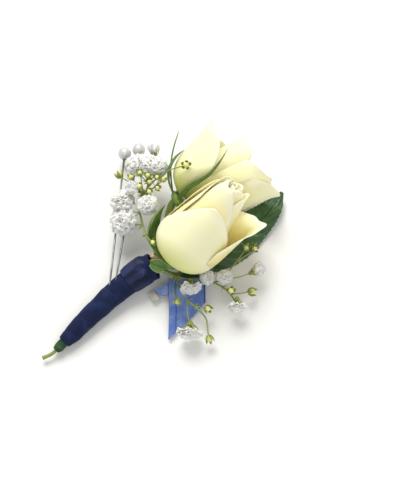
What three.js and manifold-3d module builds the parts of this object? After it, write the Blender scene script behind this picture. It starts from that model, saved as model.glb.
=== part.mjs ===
// Boutonniere: two roses, a rose leaf and gypsophila, bound with navy tape and an organza ribbon,
// with two pearl-headed pins, lying on a flat surface.
//
// Millimetres, +Z up. While it is modelled, the origin is on the surface under the place where the
// stems are bound, and +Y runs from the stem's cut end towards the flowers. At the end the whole
// group is moved so that the origin is the middle of the underside of its bounding box.

import * as THREE from "three";
import { mergeVertices } from "three/addons/utils/BufferGeometryUtils.js";
import Module from "manifold-3d";

const wasm = await Module();
wasm.setup();

// ---------------------------------------------------------------- driving dimensions

const GAP = 0.3; // clear space between neighbouring pieces
const PETAL_THICKNESS = 0.6;
const LAYER_STEP = 0.9; // from one layer of petals to the next
const PRESSED_STEP = 0.8; // the same, where a flower is pressed flat
const LEAF_THICKNESS = 0.6;

const ROSE_PETAL_LENGTH = 38; // arc length of a usual outer petal, root to rim
const HIP_RADIUS = 4.2;
const HIP_LENGTH = 5;
const ROSE_STEM_RADIUS = 1.5;

const LEAF_HALF_WIDTHS = [1, 4.6, 6, 7.6, 8.3, 7.2, 5.6, 4.2, 3.1, 2.2, 0.5]; // stalk to tip
const LEAF_TEETH = 11;
const TOOTH_DEPTH = 0.4;

const SMALL_FLORET = 6; // florets up to this diameter are half open
const GYP_STEM_RADIUS = 0.55;
const LONG_STEM_RADIUS = 0.95; // the one gypsophila stem that runs the whole way down

const WRAP_TOP_RADIUS = 5.4;
const WRAP_END_RADIUS = 3.2;
const WRAP_WALL = 1.1;
const WRAP_STEP = 0.45; // how far each turn of tape stands out over the next
const WRAP_PITCH = 7.5; // length of stem that one turn of tape covers

const RIBBON_WIDTH = 15;
const RIBBON_THICKNESS = 0.6;

const PIN_RADIUS = 0.4;
const PIN_HOLE_RADIUS = 0.75;
const PEARL_RADIUS = 2.7;

// The way the flowers face: up, a little to one side and back along the stem.
const FACING = new THREE.Vector3(0.337, -0.164, 0.927).normalize();

// ---------------------------------------------------------------- small helpers

const v = (x, y, z) => new THREE.Vector3(x, y, z);
const radians = THREE.MathUtils.degToRad;
const clamp01 = (x) => Math.min(1, Math.max(0, x));
const ease = (x) => clamp01(x) ** 2 * (3 - 2 * clamp01(x));

/** A closed solid from any closed geometry. */
function solid(geometry) {
  const bare = geometry.clone();
  bare.deleteAttribute("normal");
  bare.deleteAttribute("uv");
  const merged = mergeVertices(bare, 1e-4);
  const vertProperties = new Float32Array(merged.attributes.position.array);
  const triVerts = new Uint32Array(merged.index.array);
  return new wasm.Manifold(new wasm.Mesh({ numProp: 3, vertProperties, triVerts }));
}

/** The outer skin of a solid's largest body: sealed hollows are filled and loose scraps dropped. */
function largestBody(body) {
  const pieces = body.decompose();
  return pieces.reduce((best, piece) => (piece.volume() > best.volume() ? piece : best));
}

function union(solids) {
  return solids.reduce((sum, piece) => sum.add(piece));
}

function geometryOf(body) {
  const mesh = body.getMesh();
  const geometry = new THREE.BufferGeometry();
  geometry.setAttribute("position", new THREE.BufferAttribute(mesh.vertProperties, 3));
  geometry.setIndex(new THREE.BufferAttribute(mesh.triVerts, 1));
  geometry.computeVertexNormals();
  return geometry;
}

/**
 * A closed blade from a middle surface. point(u, t) gives the surface for u and t from 0 to 1; both
 * faces are split along the same diagonals.
 */
function blade(point, thickness, acrossCells, alongCells) {
  const columns = acrossCells + 1;
  const rows = alongCells + 1;
  const middle = [];
  for (let j = 0; j < rows; j += 1) {
    for (let i = 0; i < columns; i += 1) middle.push(point(i / acrossCells, j / alongCells));
  }
  const normals = middle.map((p, k) => {
    const i = k % columns;
    const j = Math.floor(k / columns);
    const right = middle[j * columns + Math.min(i + 1, acrossCells)];
    const left = middle[j * columns + Math.max(i - 1, 0)];
    const above = middle[Math.min(j + 1, alongCells) * columns + i];
    const below = middle[Math.max(j - 1, 0) * columns + i];
    return right.clone().sub(left).cross(above.clone().sub(below)).normalize();
  });
  const positions = [];
  for (const side of [0.5, -0.5]) {
    middle.forEach((p, k) => {
      const q = p.clone().addScaledVector(normals[k], side * thickness);
      positions.push(q.x, q.y, q.z);
    });
  }
  const back = columns * rows;
  const index = [];
  const quad = (a, b, c, d) => index.push(a, b, c, a, c, d);
  for (let j = 0; j < alongCells; j += 1) {
    for (let i = 0; i < acrossCells; i += 1) {
      const a = j * columns + i;
      const b = a + 1;
      const c = b + columns;
      const d = a + columns;
      index.push(a, b, c, a, c, d);
      index.push(back + a, back + c, back + b, back + a, back + d, back + c);
    }
  }
  for (let i = 0; i < acrossCells; i += 1) {
    const top = alongCells * columns;
    quad(i + 1, i, back + i, back + i + 1);
    quad(top + i, top + i + 1, back + top + i + 1, back + top + i);
  }
  for (let j = 0; j < alongCells; j += 1) {
    const left = j * columns;
    const right = left + acrossCells;
    quad(left, left + columns, back + left + columns, back + left);
    quad(right + columns, right, back + right, back + right + columns);
  }
  const geometry = new THREE.BufferGeometry();
  geometry.setAttribute("position", new THREE.Float32BufferAttribute(positions, 3));
  geometry.setIndex(index);
  return solid(geometry);
}

/** A closed round stem along points, whose radius runs evenly from one end's to the other's. */
function stem(points, startRadius, endRadius, sides = 6, stepsPerSpan = 3) {
  const curve = new THREE.CatmullRomCurve3(points, false, "centripetal");
  const steps = stepsPerSpan * (points.length - 1);
  const frames = curve.computeFrenetFrames(steps, false);
  const positions = [];
  const index = [];
  for (let j = 0; j <= steps; j += 1) {
    const centre = curve.getPointAt(j / steps);
    const radius = THREE.MathUtils.lerp(startRadius, endRadius, j / steps);
    for (let i = 0; i < sides; i += 1) {
      const angle = (2 * Math.PI * i) / sides;
      const p = centre.clone();
      p.addScaledVector(frames.normals[j], radius * Math.cos(angle));
      p.addScaledVector(frames.binormals[j], radius * Math.sin(angle));
      positions.push(p.x, p.y, p.z);
    }
  }
  for (let j = 0; j < steps; j += 1) {
    for (let i = 0; i < sides; i += 1) {
      const a = j * sides + i;
      const b = j * sides + ((i + 1) % sides);
      index.push(a, b, b + sides, a, b + sides, a + sides);
    }
  }
  for (let i = 1; i < sides - 1; i += 1) {
    const last = steps * sides;
    index.push(0, i + 1, i, last, last + i, last + i + 1);
  }
  const geometry = new THREE.BufferGeometry();
  geometry.setAttribute("position", new THREE.Float32BufferAttribute(positions, 3));
  geometry.setIndex(index);
  return solid(geometry);
}

/** Puts a body that was made along +Z at a place, with its +Z turned to a direction. */
function placed(body, at, direction, twist = 0) {
  const turn = new THREE.Quaternion().setFromUnitVectors(v(0, 0, 1), direction.clone().normalize());
  const spin = new THREE.Quaternion().setFromAxisAngle(v(0, 0, 1), twist);
  const matrix = new THREE.Matrix4().compose(at, turn.multiply(spin), v(1, 1, 1));
  return body.transform(matrix.elements);
}

function lathe(profile, sides) {
  const points = profile.map(([radius, height]) => new THREE.Vector2(radius, height));
  const geometry = new THREE.LatheGeometry(points, sides);
  geometry.rotateX(Math.PI / 2);
  return solid(geometry);
}

const group = new THREE.Group();

function addPiece(name, body, colour, roughness, metalness = 0) {
  const material = new THREE.MeshStandardMaterial({ color: colour, roughness, metalness });
  const mesh = new THREE.Mesh(geometryOf(largestBody(body)), material);
  mesh.name = name;
  group.add(mesh);
}

// Everything that could dip below the surface is cut level with it.
const ground = solid(new THREE.BoxGeometry(400, 400, 40).translate(0, 0, -20));
const level = (body) => body.subtract(ground);

// ---------------------------------------------------------------- rose petals

/** The frame of a rose: +Z along its axis, +X the side that faces out, +Y across. */
function roseFrame(base, axis) {
  const z = axis.clone().normalize();
  const x = FACING.clone().addScaledVector(z, -FACING.dot(z)).normalize();
  const y = new THREE.Vector3().crossVectors(z, x);
  return new THREE.Matrix4().makeBasis(x, y, z).setPosition(base);
}

const usualPetal = {
  length: ROSE_PETAL_LENGTH,
  spread: 80, // half the angle that the petal wraps round the bud
  startAngle: 14, // slope at the root, from level
  endAngle: 97, // slope near the rim: over 90 leans inwards
  cup: 0.48, // part of the length over which the slope changes
  roll: 30, // how far the rim turns outwards
  rollFrom: 0.85,
  rollMiddle: 0.5, // share of the roll that the middle of the rim gets
  spiral: 0.6, // one edge stands out, the other tucks in
  corner: 0.3, // share of the length by which the rim drops at its left corner
  cornerRight: undefined, // the same at the right, where it differs
  power: 2.6, // how suddenly it drops: 1 is evenly from the middle
  powerRight: undefined,
  tip: 0, // height of the pointed tip
  lean: 0, // the whole petal tipped outwards
  rootRadius: 2.2,
  layer: 0, // layers that it lies outside the first ring of petals
  depth: 0, // layers that lie outside it where the flower is pressed
};

/** A point on a petal's middle surface, in the rose's frame. */
function petalPoint(petal, across, along) {
  const side = 2 * across - 1;
  const right = side > 0 ? { corner: petal.cornerRight, power: petal.powerRight } : {};
  const drop = (right.corner ?? petal.corner) * Math.abs(side) ** (right.power ?? petal.power);
  const reach = 1 - drop + petal.tip * Math.exp(-((side / 0.2) ** 2));
  const rollShare = 1 - petal.rollMiddle * (1 - Math.abs(side) ** 1.5);
  const steps = 24;
  const stride = (along * reach) / steps;
  const rootRadius = petal.rootRadius + LAYER_STEP * petal.layer;
  let radius = rootRadius;
  let height = -LAYER_STEP * petal.layer;
  for (let k = 0; k < steps; k += 1) {
    const s = (k + 0.5) * stride;
    const rolled = ease((s - petal.rollFrom) / (1.02 - petal.rollFrom)) ** 1.3;
    const slope = radians(
      THREE.MathUtils.lerp(petal.startAngle, petal.endAngle, ease(s / petal.cup)) -
        petal.roll * rollShare * rolled,
    );
    radius += Math.cos(slope) * stride * petal.length;
    height += Math.sin(slope) * stride * petal.length;
  }
  radius += petal.spiral * side * ease((along * reach) / 0.15);
  const turned = radians(petal.azimuth + side * petal.spread);
  const middle = radians(petal.azimuth);
  // Lean: turn about the tangent at the root.
  const out = radius * Math.cos(turned - middle);
  const cross = radius * Math.sin(turned - middle);
  const lean = radians(petal.lean);
  const dx = out - rootRadius;
  const leanedOut = rootRadius + dx * Math.cos(lean) + height * Math.sin(lean);
  const leanedUp = -dx * Math.sin(lean) + height * Math.cos(lean);
  return v(
    leanedOut * Math.cos(middle) - cross * Math.sin(middle),
    leanedOut * Math.sin(middle) + cross * Math.cos(middle),
    leanedUp,
  );
}

/**
 * Where a flower is pressed against a flat place, points near it slide back and never cross it.
 * Inner petals stop further back, so that the layers stay in order.
 */
function pressedBack(p, plane, depth) {
  const soft = plane.soft + depth * PRESSED_STEP;
  const distance = p.clone().sub(plane.point).dot(plane.normal);
  if (distance >= soft) return p;
  const kept = soft - plane.give * (1 - Math.exp((distance - soft) / plane.give));
  return p.clone().addScaledVector(plane.normal, kept - distance);
}

class Rose {
  constructor({ base, axis, outer, rings, budRadius, budLength }) {
    this.matrix = roseFrame(base, axis);
    this.base = base;
    this.axis = axis.clone().normalize();
    this.outer = outer.map((petal) => ({ ...usualPetal, ...petal, depth: 2 - (petal.layer ?? 0) }));
    this.inner = rings.flatMap(({ count, first, ...shape }, ring) =>
      Array.from({ length: count }, (_, k) => ({
        ...usualPetal,
        ...shape,
        azimuth: first + (360 * k) / count,
        depth: 3 + ring,
      })),
    );
    this.bud = { radius: budRadius, length: budLength };
    this.planes = [];
  }

  centre(height = 19.5) {
    return this.base.clone().addScaledVector(this.axis, height);
  }

  point(petal, across, along) {
    let p = petalPoint(petal, across, along).applyMatrix4(this.matrix);
    for (const plane of this.planes) p = pressedBack(p, plane, petal.depth);
    return p;
  }

  petalBlade(petal, thickness, across, along) {
    return blade((u, t) => this.point(petal, u, t), thickness, across, along);
  }

  /** All petals round a closed bud, grown together at the root. */
  flower(extra = 0) {
    const { radius, length } = this.bud;
    const bud = lathe(
      [
        [0, 0],
        [5.5 + extra, 0.5],
        [radius * 0.97, length * 0.25],
        [radius, length * 0.5],
        [radius * 0.62, length * 0.85],
        [0, length],
      ],
      9,
    ).transform(this.matrix.elements);
    const petals = this.outer.map((petal) => this.petalBlade(petal, PETAL_THICKNESS + extra, 4, 4));
    for (const petal of this.inner) {
      petals.push(this.petalBlade(petal, PETAL_THICKNESS + extra, 3, 3));
    }
    return largestBody(union([bud, ...petals]));
  }
}

const frontRose = new Rose({
  base: v(5.6, 4.4, 11.7),
  axis: v(0.118, 0.789, 0.603),
  outer: [
    {
      azimuth: -2,
      length: 38.5,
      spread: 94,
      endAngle: 99,
      cup: 0.55,
      corner: 0.72,
      power: 1.3,
      cornerRight: 0.62,
      powerRight: 2,
      layer: 1,
    },
    { azimuth: -82, length: 46, spread: 75, endAngle: 103, cup: 0.46, roll: 4, tip: 0.03 },
    {
      azimuth: 84,
      spread: 52,
      endAngle: 96,
      cup: 0.58,
      roll: 70,
      rollFrom: 0.8,
      corner: 0.5,
      power: 2,
      layer: 0.6,
    },
    {
      azimuth: 102,
      length: 39,
      spread: 62,
      endAngle: 89,
      cup: 0.54,
      roll: 60,
      rollFrom: 0.8,
      corner: 0.36,
      cornerRight: 0.14,
      tip: 0.08,
      lean: 4,
    },
    { azimuth: 200, length: 44, spread: 72 },
    { azimuth: 84, length: 28, spread: 58, endAngle: 100, cup: 0.76, corner: 0.5, layer: 1 },
  ],
  rings: [
    { count: 3, first: -20, length: 43, startAngle: 26, endAngle: 100, cup: 0.44, spiral: 0.8 },
    { count: 3, first: 40, length: 42, spread: 88, startAngle: 43, endAngle: 99, cup: 0.4, spiral: 0.9 },
  ],
  budRadius: 5.6,
  budLength: 35,
});

const backRose = new Rose({
  base: v(-11.6, 24.6, 10),
  axis: v(0.25, 0.949, 0.19),
  outer: [
    {
      azimuth: -60,
      length: 35,
      spread: 66,
      startAngle: 10,
      endAngle: 73,
      cup: 0.5,
      roll: 10,
      corner: 0.5,
      powerRight: 4,
      tip: 0.04,
      layer: 1,
    },
    { azimuth: -11, length: 39.2, spread: 66, cup: 0.42, roll: 40, corner: 0.2, cornerRight: 0.24 },
    { azimuth: 42, length: 40, spread: 50, endAngle: 92, roll: 45, corner: 0.24, tip: 0.09, lean: 10 },
    { azimuth: 66, length: 40, spread: 50, endAngle: 92, roll: 45, corner: 0.2, tip: 0, lean: 13 },
    { azimuth: 160, length: 35, spread: 60, cup: 0.58, roll: 40 },
    { azimuth: -120, length: 31, spread: 70, cup: 0.64, roll: 40 },
  ],
  rings: [
    { count: 3, first: -40, length: 32.5, startAngle: 26, endAngle: 99, cup: 0.44, spiral: 0.8 },
    { count: 3, first: 20, length: 31.5, spread: 88, startAngle: 43, endAngle: 99, cup: 0.4, spiral: 0.9 },
  ],
  budRadius: 5.4,
  budLength: 26,
});

// The two flowers are pressed against each other, and the lower one against the surface.
const between = backRose.centre().sub(frontRose.centre()).normalize();
const meeting = frontRose.centre().add(backRose.centre()).multiplyScalar(0.5);
frontRose.planes = [{ point: meeting, normal: between.clone().negate(), soft: 2.2, give: 1.6 }];
backRose.planes = [
  { point: meeting, normal: between, soft: 2.2, give: 1.6 },
  { point: v(0, 0, 0), normal: v(0, 0, 1), soft: -0.4, give: 0.9 },
];

// ---------------------------------------------------------------- the bound stems

// The middle line of the navy wrap, from its lower end up to its mouth.
const wrapLine = new THREE.CatmullRomCurve3([
  v(-1.6, -50.4, 3.1),
  v(-2.4, -29.3, 4.3),
  v(-2.0, -18.1, 5.2),
  v(-0.8, -9, 6.9),
  v(1.2, -3.4, 8),
]);

/** A point inside the wrap: how far along it, and how far right and up from its middle line. */
function inBundle(along, right, up) {
  return wrapLine.getPointAt(along).add(v(right, 0, up));
}

const wrapRadius = (along) => THREE.MathUtils.lerp(WRAP_END_RADIUS, WRAP_TOP_RADIUS, along ** 0.85);

/** A closed tube round the wrap's middle line; a radius is a function of along and angle. */
function sleeve(from, to, outerRadius, innerRadius, steps, sides) {
  const frames = [];
  for (let j = 0; j <= steps; j += 1) {
    const along = THREE.MathUtils.lerp(from, to, j / steps);
    const forward = wrapLine.getTangentAt(clamp01(along));
    const right = new THREE.Vector3().crossVectors(forward, v(0, 0, 1)).normalize();
    const up = new THREE.Vector3().crossVectors(right, forward);
    const beyond = along - clamp01(along);
    const centre = wrapLine.getPointAt(clamp01(along));
    centre.addScaledVector(forward, beyond * wrapLine.getLength());
    frames.push({ along, right, up, centre });
  }
  const positions = [];
  for (const radiusAt of [outerRadius, innerRadius]) {
    for (const { along, right, up, centre } of frames) {
      for (let i = 0; i < sides; i += 1) {
        const angle = (2 * Math.PI * i) / sides;
        const radius = radiusAt(along, angle);
        const p = centre.clone();
        p.addScaledVector(right, radius * Math.cos(angle));
        p.addScaledVector(up, radius * Math.sin(angle));
        positions.push(p.x, p.y, p.z);
      }
    }
  }
  const index = [];
  const quad = (a, b, c, d) => index.push(a, b, c, a, c, d);
  const inner = sides * (steps + 1);
  for (let i = 0; i < sides; i += 1) {
    const next = (i + 1) % sides;
    for (let j = 0; j < steps; j += 1) {
      const row = j * sides;
      quad(row + i, row + next, row + next + sides, row + i + sides);
      quad(inner + row + next, inner + row + i, inner + row + i + sides, inner + row + next + sides);
    }
    const last = steps * sides;
    quad(next, i, inner + i, inner + next);
    quad(last + i, last + next, inner + last + next, inner + last + i);
  }
  const geometry = new THREE.BufferGeometry();
  geometry.setAttribute("position", new THREE.Float32BufferAttribute(positions, 3));
  geometry.setIndex(index.reverse());
  return solid(geometry);
}

const pins = [
  { head: v(-45.4, 21, 5.4), entry: v(-6.5, -19.3, 8.4), buried: 4 },
  { head: v(-42.1, 26.2, 6.2), entry: v(-6.4, -15.6, 9.4), buried: 3.6 },
];

/** The straight line of a pin, from under its pearl to its point. */
function pinEnds({ head, entry, buried }) {
  const direction = entry.clone().sub(head).normalize();
  const start = head.clone().addScaledVector(direction, PEARL_RADIUS + GAP / 2);
  return { start, end: entry.clone().addScaledVector(direction, buried), direction };
}

// ---------------------------------------------------------------- rose greens

function hip(rose) {
  return lathe(
    [
      [0, -HIP_LENGTH],
      [ROSE_STEM_RADIUS, -HIP_LENGTH],
      [HIP_RADIUS, -HIP_LENGTH * 0.6],
      [HIP_RADIUS * 0.62, -1.4],
      [0, -1.4],
    ],
    10,
  ).transform(rose.matrix.elements);
}

/** A sepal: a narrow pointed blade that grows from the hip's rim and lies under the petals. */
function sepal(rose, { halfWidth, curl = 0, ...slopes }) {
  const shape = { ...usualPetal, layer: 3.4, rootRadius: 0.3, ...slopes };
  shape.roll = curl;
  shape.rollFrom = 0.55;
  shape.rollMiddle = 0;
  shape.spiral = 0;
  shape.corner = 0;
  shape.cup = (usualPetal.cup * ROSE_PETAL_LENGTH + 4) / shape.length;
  const widthAt = (t) => 0.15 + 0.85 * Math.sin(Math.PI * (0.18 + 0.8 * t)) ** 1.2;
  return blade(
    (u, t) => {
      const turn = (halfWidth * widthAt(t)) / (4.5 + 9 * ease(t * 2));
      const narrow = { ...shape, spread: THREE.MathUtils.radToDeg(turn) };
      return rose.point(narrow, u, t);
    },
    LEAF_THICKNESS,
    2,
    6,
  );
}

/** Hip, sepals and stem of a rose, kept clear of all petals. */
function roseGreen(rose, sepals, stemPoints, extras, clearances) {
  const pieces = [hip(rose), stem(stemPoints, ROSE_STEM_RADIUS, ROSE_STEM_RADIUS * 0.8, 7, 1), ...extras];
  for (const shape of sepals) pieces.push(sepal(rose, shape));
  return clearances.reduce((body, other) => body.subtract(other), union(pieces));
}

const alongAxis = (rose, height) => rose.base.clone().addScaledVector(rose.axis, height);

const frontStem = [
  alongAxis(frontRose, -HIP_LENGTH + 1),
  alongAxis(frontRose, -HIP_LENGTH - 0.5),
  v(3.2, -3.6, 7.5),
  inBundle(0.85, 1.8, -0.7),
  inBundle(0.6, 1.6, -0.6),
  inBundle(0.3, 1.2, -0.6),
];
const frontSepals = [
  { azimuth: -106, length: 22, halfWidth: 3, lean: 8 },
  { azimuth: -75, length: 17, halfWidth: 1.2 },
  { azimuth: 110, length: 16, halfWidth: 1.8 },
  { azimuth: 180, length: 18, halfWidth: 2 },
];
const cutStub = stem([alongAxis(frontRose, -2.5), v(0.9, -1.4, 13.4), v(0, -2, 14.8)], 0.9, 0.75, 6, 1);

const backStem = [
  alongAxis(backRose, -HIP_LENGTH + 1),
  alongAxis(backRose, -HIP_LENGTH - 0.5),
  v(-10.4, 14, 6.2),
  v(-5.4, 7.4, 4.8),
  v(-2.2, 1.4, 6.4),
  v(-0.4, -1.4, 7.6),
  v(-0.9, -4.6, 7.2),
  inBundle(0.85, -1.7, -0.7),
  inBundle(0.6, -1.6, -0.6),
  inBundle(0.42, -1.4, -0.4),
];
const backSepals = [
  { azimuth: -84, length: 25, halfWidth: 1.2, startAngle: 24, endAngle: 50 },
  { azimuth: -5, length: 37, halfWidth: 1.2, curl: 25, lean: 13 },
  { azimuth: -30, length: 12, halfWidth: 2.6 },
  { azimuth: 110, length: 16, halfWidth: 1.8 },
  { azimuth: -160, length: 18, halfWidth: 2 },
];

// ---------------------------------------------------------------- leaves

const leafOutline = new THREE.SplineCurve(
  LEAF_HALF_WIDTHS.map((width, k) => new THREE.Vector2(k / (LEAF_HALF_WIDTHS.length - 1), width)),
);

function largeLeaf(extra = 0) {
  const midrib = new THREE.CatmullRomCurve3([
    v(9.5, 2, 2.6),
    v(11.5, 16, 2.4),
    v(13.6, 34, 3),
    v(13.8, 46, 3.6),
    v(12.9, 55, 4.2),
  ]);
  const stepsPerTooth = 2;
  const steps = LEAF_TEETH * stepsPerTooth;
  const rightDroop = 2.3;
  const leftDroop = -0.8;
  return blade(
    (u, t) => {
      const side = 2 * u - 1;
      const tooth = Math.round(t * steps) % stepsPerTooth === 1 ? TOOTH_DEPTH / 2 : -TOOTH_DEPTH / 2;
      const width = leafOutline.getPoint(t).y + (Math.abs(side) === 1 ? tooth : 0);
      const forward = midrib.getTangent(t);
      const right = new THREE.Vector3().crossVectors(forward, v(0, 0, 1)).normalize();
      const p = midrib.getPoint(t).addScaledVector(right, side * width);
      const droop = side > 0 ? rightDroop : leftDroop;
      p.z -= droop * side * side * Math.sin(Math.PI * Math.min(1, t * 1.15)) ** 0.5;
      p.z = Math.max(p.z, LEAF_THICKNESS / 3);
      return p;
    },
    LEAF_THICKNESS + extra,
    4,
    steps,
  );
}

const leafStalk = [
  v(9.6, 3, 2.6),
  v(7.6, 0.8, 2.8),
  v(4.6, -1.2, 4),
  v(2, -3.8, 5.3),
  inBundle(0.86, 0.4, -2.9),
  inBundle(0.68, 0.2, -2.7),
];

/** The small rounded leaf that is folded back over the binding. */
function smallLeaf() {
  const root = v(7.4, -1.6, 13.9);
  const reach = v(2.5, -4.6, 15.8).sub(root);
  const across = new THREE.Vector3().crossVectors(reach, FACING).normalize();
  return blade(
    (u, t) => {
      const side = 2 * u - 1;
      const width = 2.5 * Math.sin(Math.PI * (0.12 + 0.8 * t)) ** 0.6;
      const p = root.clone().addScaledVector(reach, t).addScaledVector(across, side * width);
      return p.addScaledVector(FACING, 0.6 * (side * side - 1));
    },
    LEAF_THICKNESS,
    2,
    5,
  );
}

// ---------------------------------------------------------------- gypsophila

/**
 * A white double floret: two crowns of notched petals, one over the other. Its skin runs from the
 * middle of the underside, round the lower crown's rim, in to the waist, round the upper crown's
 * rim and in to the middle of the top.
 */
function floret({ at, facing, diameter }) {
  const reach = diameter / 2;
  const count = diameter > SMALL_FLORET ? 6 : 4;
  const lowerRise = radians(diameter > SMALL_FLORET ? 14 : 38);
  const upperRise = radians(diameter > SMALL_FLORET ? 50 : 66);
  const waist = reach * 0.26;
  const waistHeight = waist * Math.tan(lowerRise) + PETAL_THICKNESS;
  const partShares = [0, 0.2, 0.5, 0.8];
  const partReaches = [0.42, 1, 0.82, 1]; // between petals, one side, notch, other side
  const samples = 4 * count;
  const positions = [0, 0, -PETAL_THICKNESS / 2];
  const ring = (radiusAt, heightAt) => {
    for (let k = 0; k < samples; k += 1) {
      const angle = (2 * Math.PI * (Math.floor(k / 4) + partShares[k % 4])) / count;
      const radius = radiusAt(k);
      positions.push(radius * Math.cos(angle), radius * Math.sin(angle), heightAt(k));
    }
  };
  const lower = (k) => reach * partReaches[k % 4];
  const upper = (k) => reach * 0.84 * partReaches[(k + 2) % 4];
  const upperOut = (k) => waist * 0.7 + upper(k) * Math.cos(upperRise);
  const upperUp = (k) => waistHeight + upper(k) * Math.sin(upperRise);
  ring(lower, (k) => lower(k) * Math.tan(lowerRise) - PETAL_THICKNESS / 2);
  ring(lower, (k) => lower(k) * Math.tan(lowerRise) + PETAL_THICKNESS / 2);
  ring(() => waist, () => waistHeight);
  ring(upperOut, upperUp);
  ring(
    (k) => upperOut(k) - PETAL_THICKNESS * Math.sin(upperRise),
    (k) => upperUp(k) + PETAL_THICKNESS * Math.cos(upperRise),
  );
  const top = positions.length / 3;
  positions.push(0, 0, waistHeight + PETAL_THICKNESS * 1.4);
  const index = [];
  for (let k = 0; k < samples; k += 1) {
    const next = (k + 1) % samples;
    index.push(0, 1 + next, 1 + k);
    for (let row = 0; row < 4; row += 1) {
      const low = 1 + row * samples;
      const high = low + samples;
      index.push(low + k, low + next, high + next, low + k, high + next, high + k);
    }
    index.push(top, top - samples + k, top - samples + next);
  }
  const geometry = new THREE.BufferGeometry();
  geometry.setAttribute("position", new THREE.Float32BufferAttribute(positions, 3));
  geometry.setIndex(index);
  const direction = facing.clone().normalize();
  const centre = at.clone().addScaledVector(direction, PETAL_THICKNESS / 2 + GAP);
  return placed(solid(geometry), centre, direction);
}

/** The green cup under a floret. */
function calyx({ at, facing, diameter }, extra) {
  const radius = 0.8 + diameter * 0.05 + extra;
  const height = 1.8;
  const cup = lathe(
    [
      [0, -height - extra],
      [GYP_STEM_RADIUS + extra, -height - extra],
      [radius, -height * 0.35],
      [0, 0],
    ],
    5,
  );
  return placed(cup, at, facing);
}

/** A closed bud on a stem's end. */
function bud({ at, facing, radius }, extra) {
  const wide = radius + extra;
  const shape = lathe(
    [
      [0, -wide],
      [wide, -wide * 0.2],
      [wide * 0.7, 0.7 * wide],
      [0, wide * 1.1],
    ],
    5,
  );
  return placed(shape, at, facing);
}

/** All that is green on a spray. With extra it is that much fatter, to clear a way for it. */
function sprayGreen(spray, extra = 0) {
  const pieces = [];
  for (const { points, from, to } of spray.stems) {
    pieces.push(stem(points, from + extra, to + extra, 5, 1));
  }
  for (const shape of spray.florets) pieces.push(calyx(shape, extra));
  for (const shape of spray.buds) pieces.push(bud(shape, extra));
  return union(pieces);
}

const thin = GYP_STEM_RADIUS * 0.62;
const branch = (...points) => ({ points, from: GYP_STEM_RADIUS, to: thin });
const twig = (...points) => ({ points, from: thin, to: thin });

const leftFork = v(-17.2, 6.6, 13.4);
const leftCrown = v(-21.4, 12.8, 14.6);
const left = {
  top: [
    { at: v(-33, 19.4, 14.6), facing: v(-0.3, 0.1, 1), diameter: 9.4 },
    { at: v(-29, 22.6, 15.4), facing: v(0.05, 0.1, 1), diameter: 9.4 },
    { at: v(-26, 24.4, 15.4), facing: v(0.2, 0.1, 1), diameter: 7 },
  ],
  side: [{ at: v(-25.9, 5, 12.6), facing: v(-0.5, 0.2, 1), diameter: 10.4 }],
  low: [{ at: v(-20.6, -1.6, 10.2), facing: v(-0.1, -0.6, 1), diameter: 11.4 }],
  inner: [{ at: v(-16.4, 10.9, 15.6), facing: v(0.1, -0.2, 1), diameter: 8.4 }],
  small: [{ at: v(-25, 12, 14.9), facing: v(-0.2, -0.4, 1), diameter: 5.2 }],
  halfOpen: [{ at: v(-33.6, 28.2, 10.8), facing: v(-0.6, 0.6, 0.5), diameter: 4.6 }],
};
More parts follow.
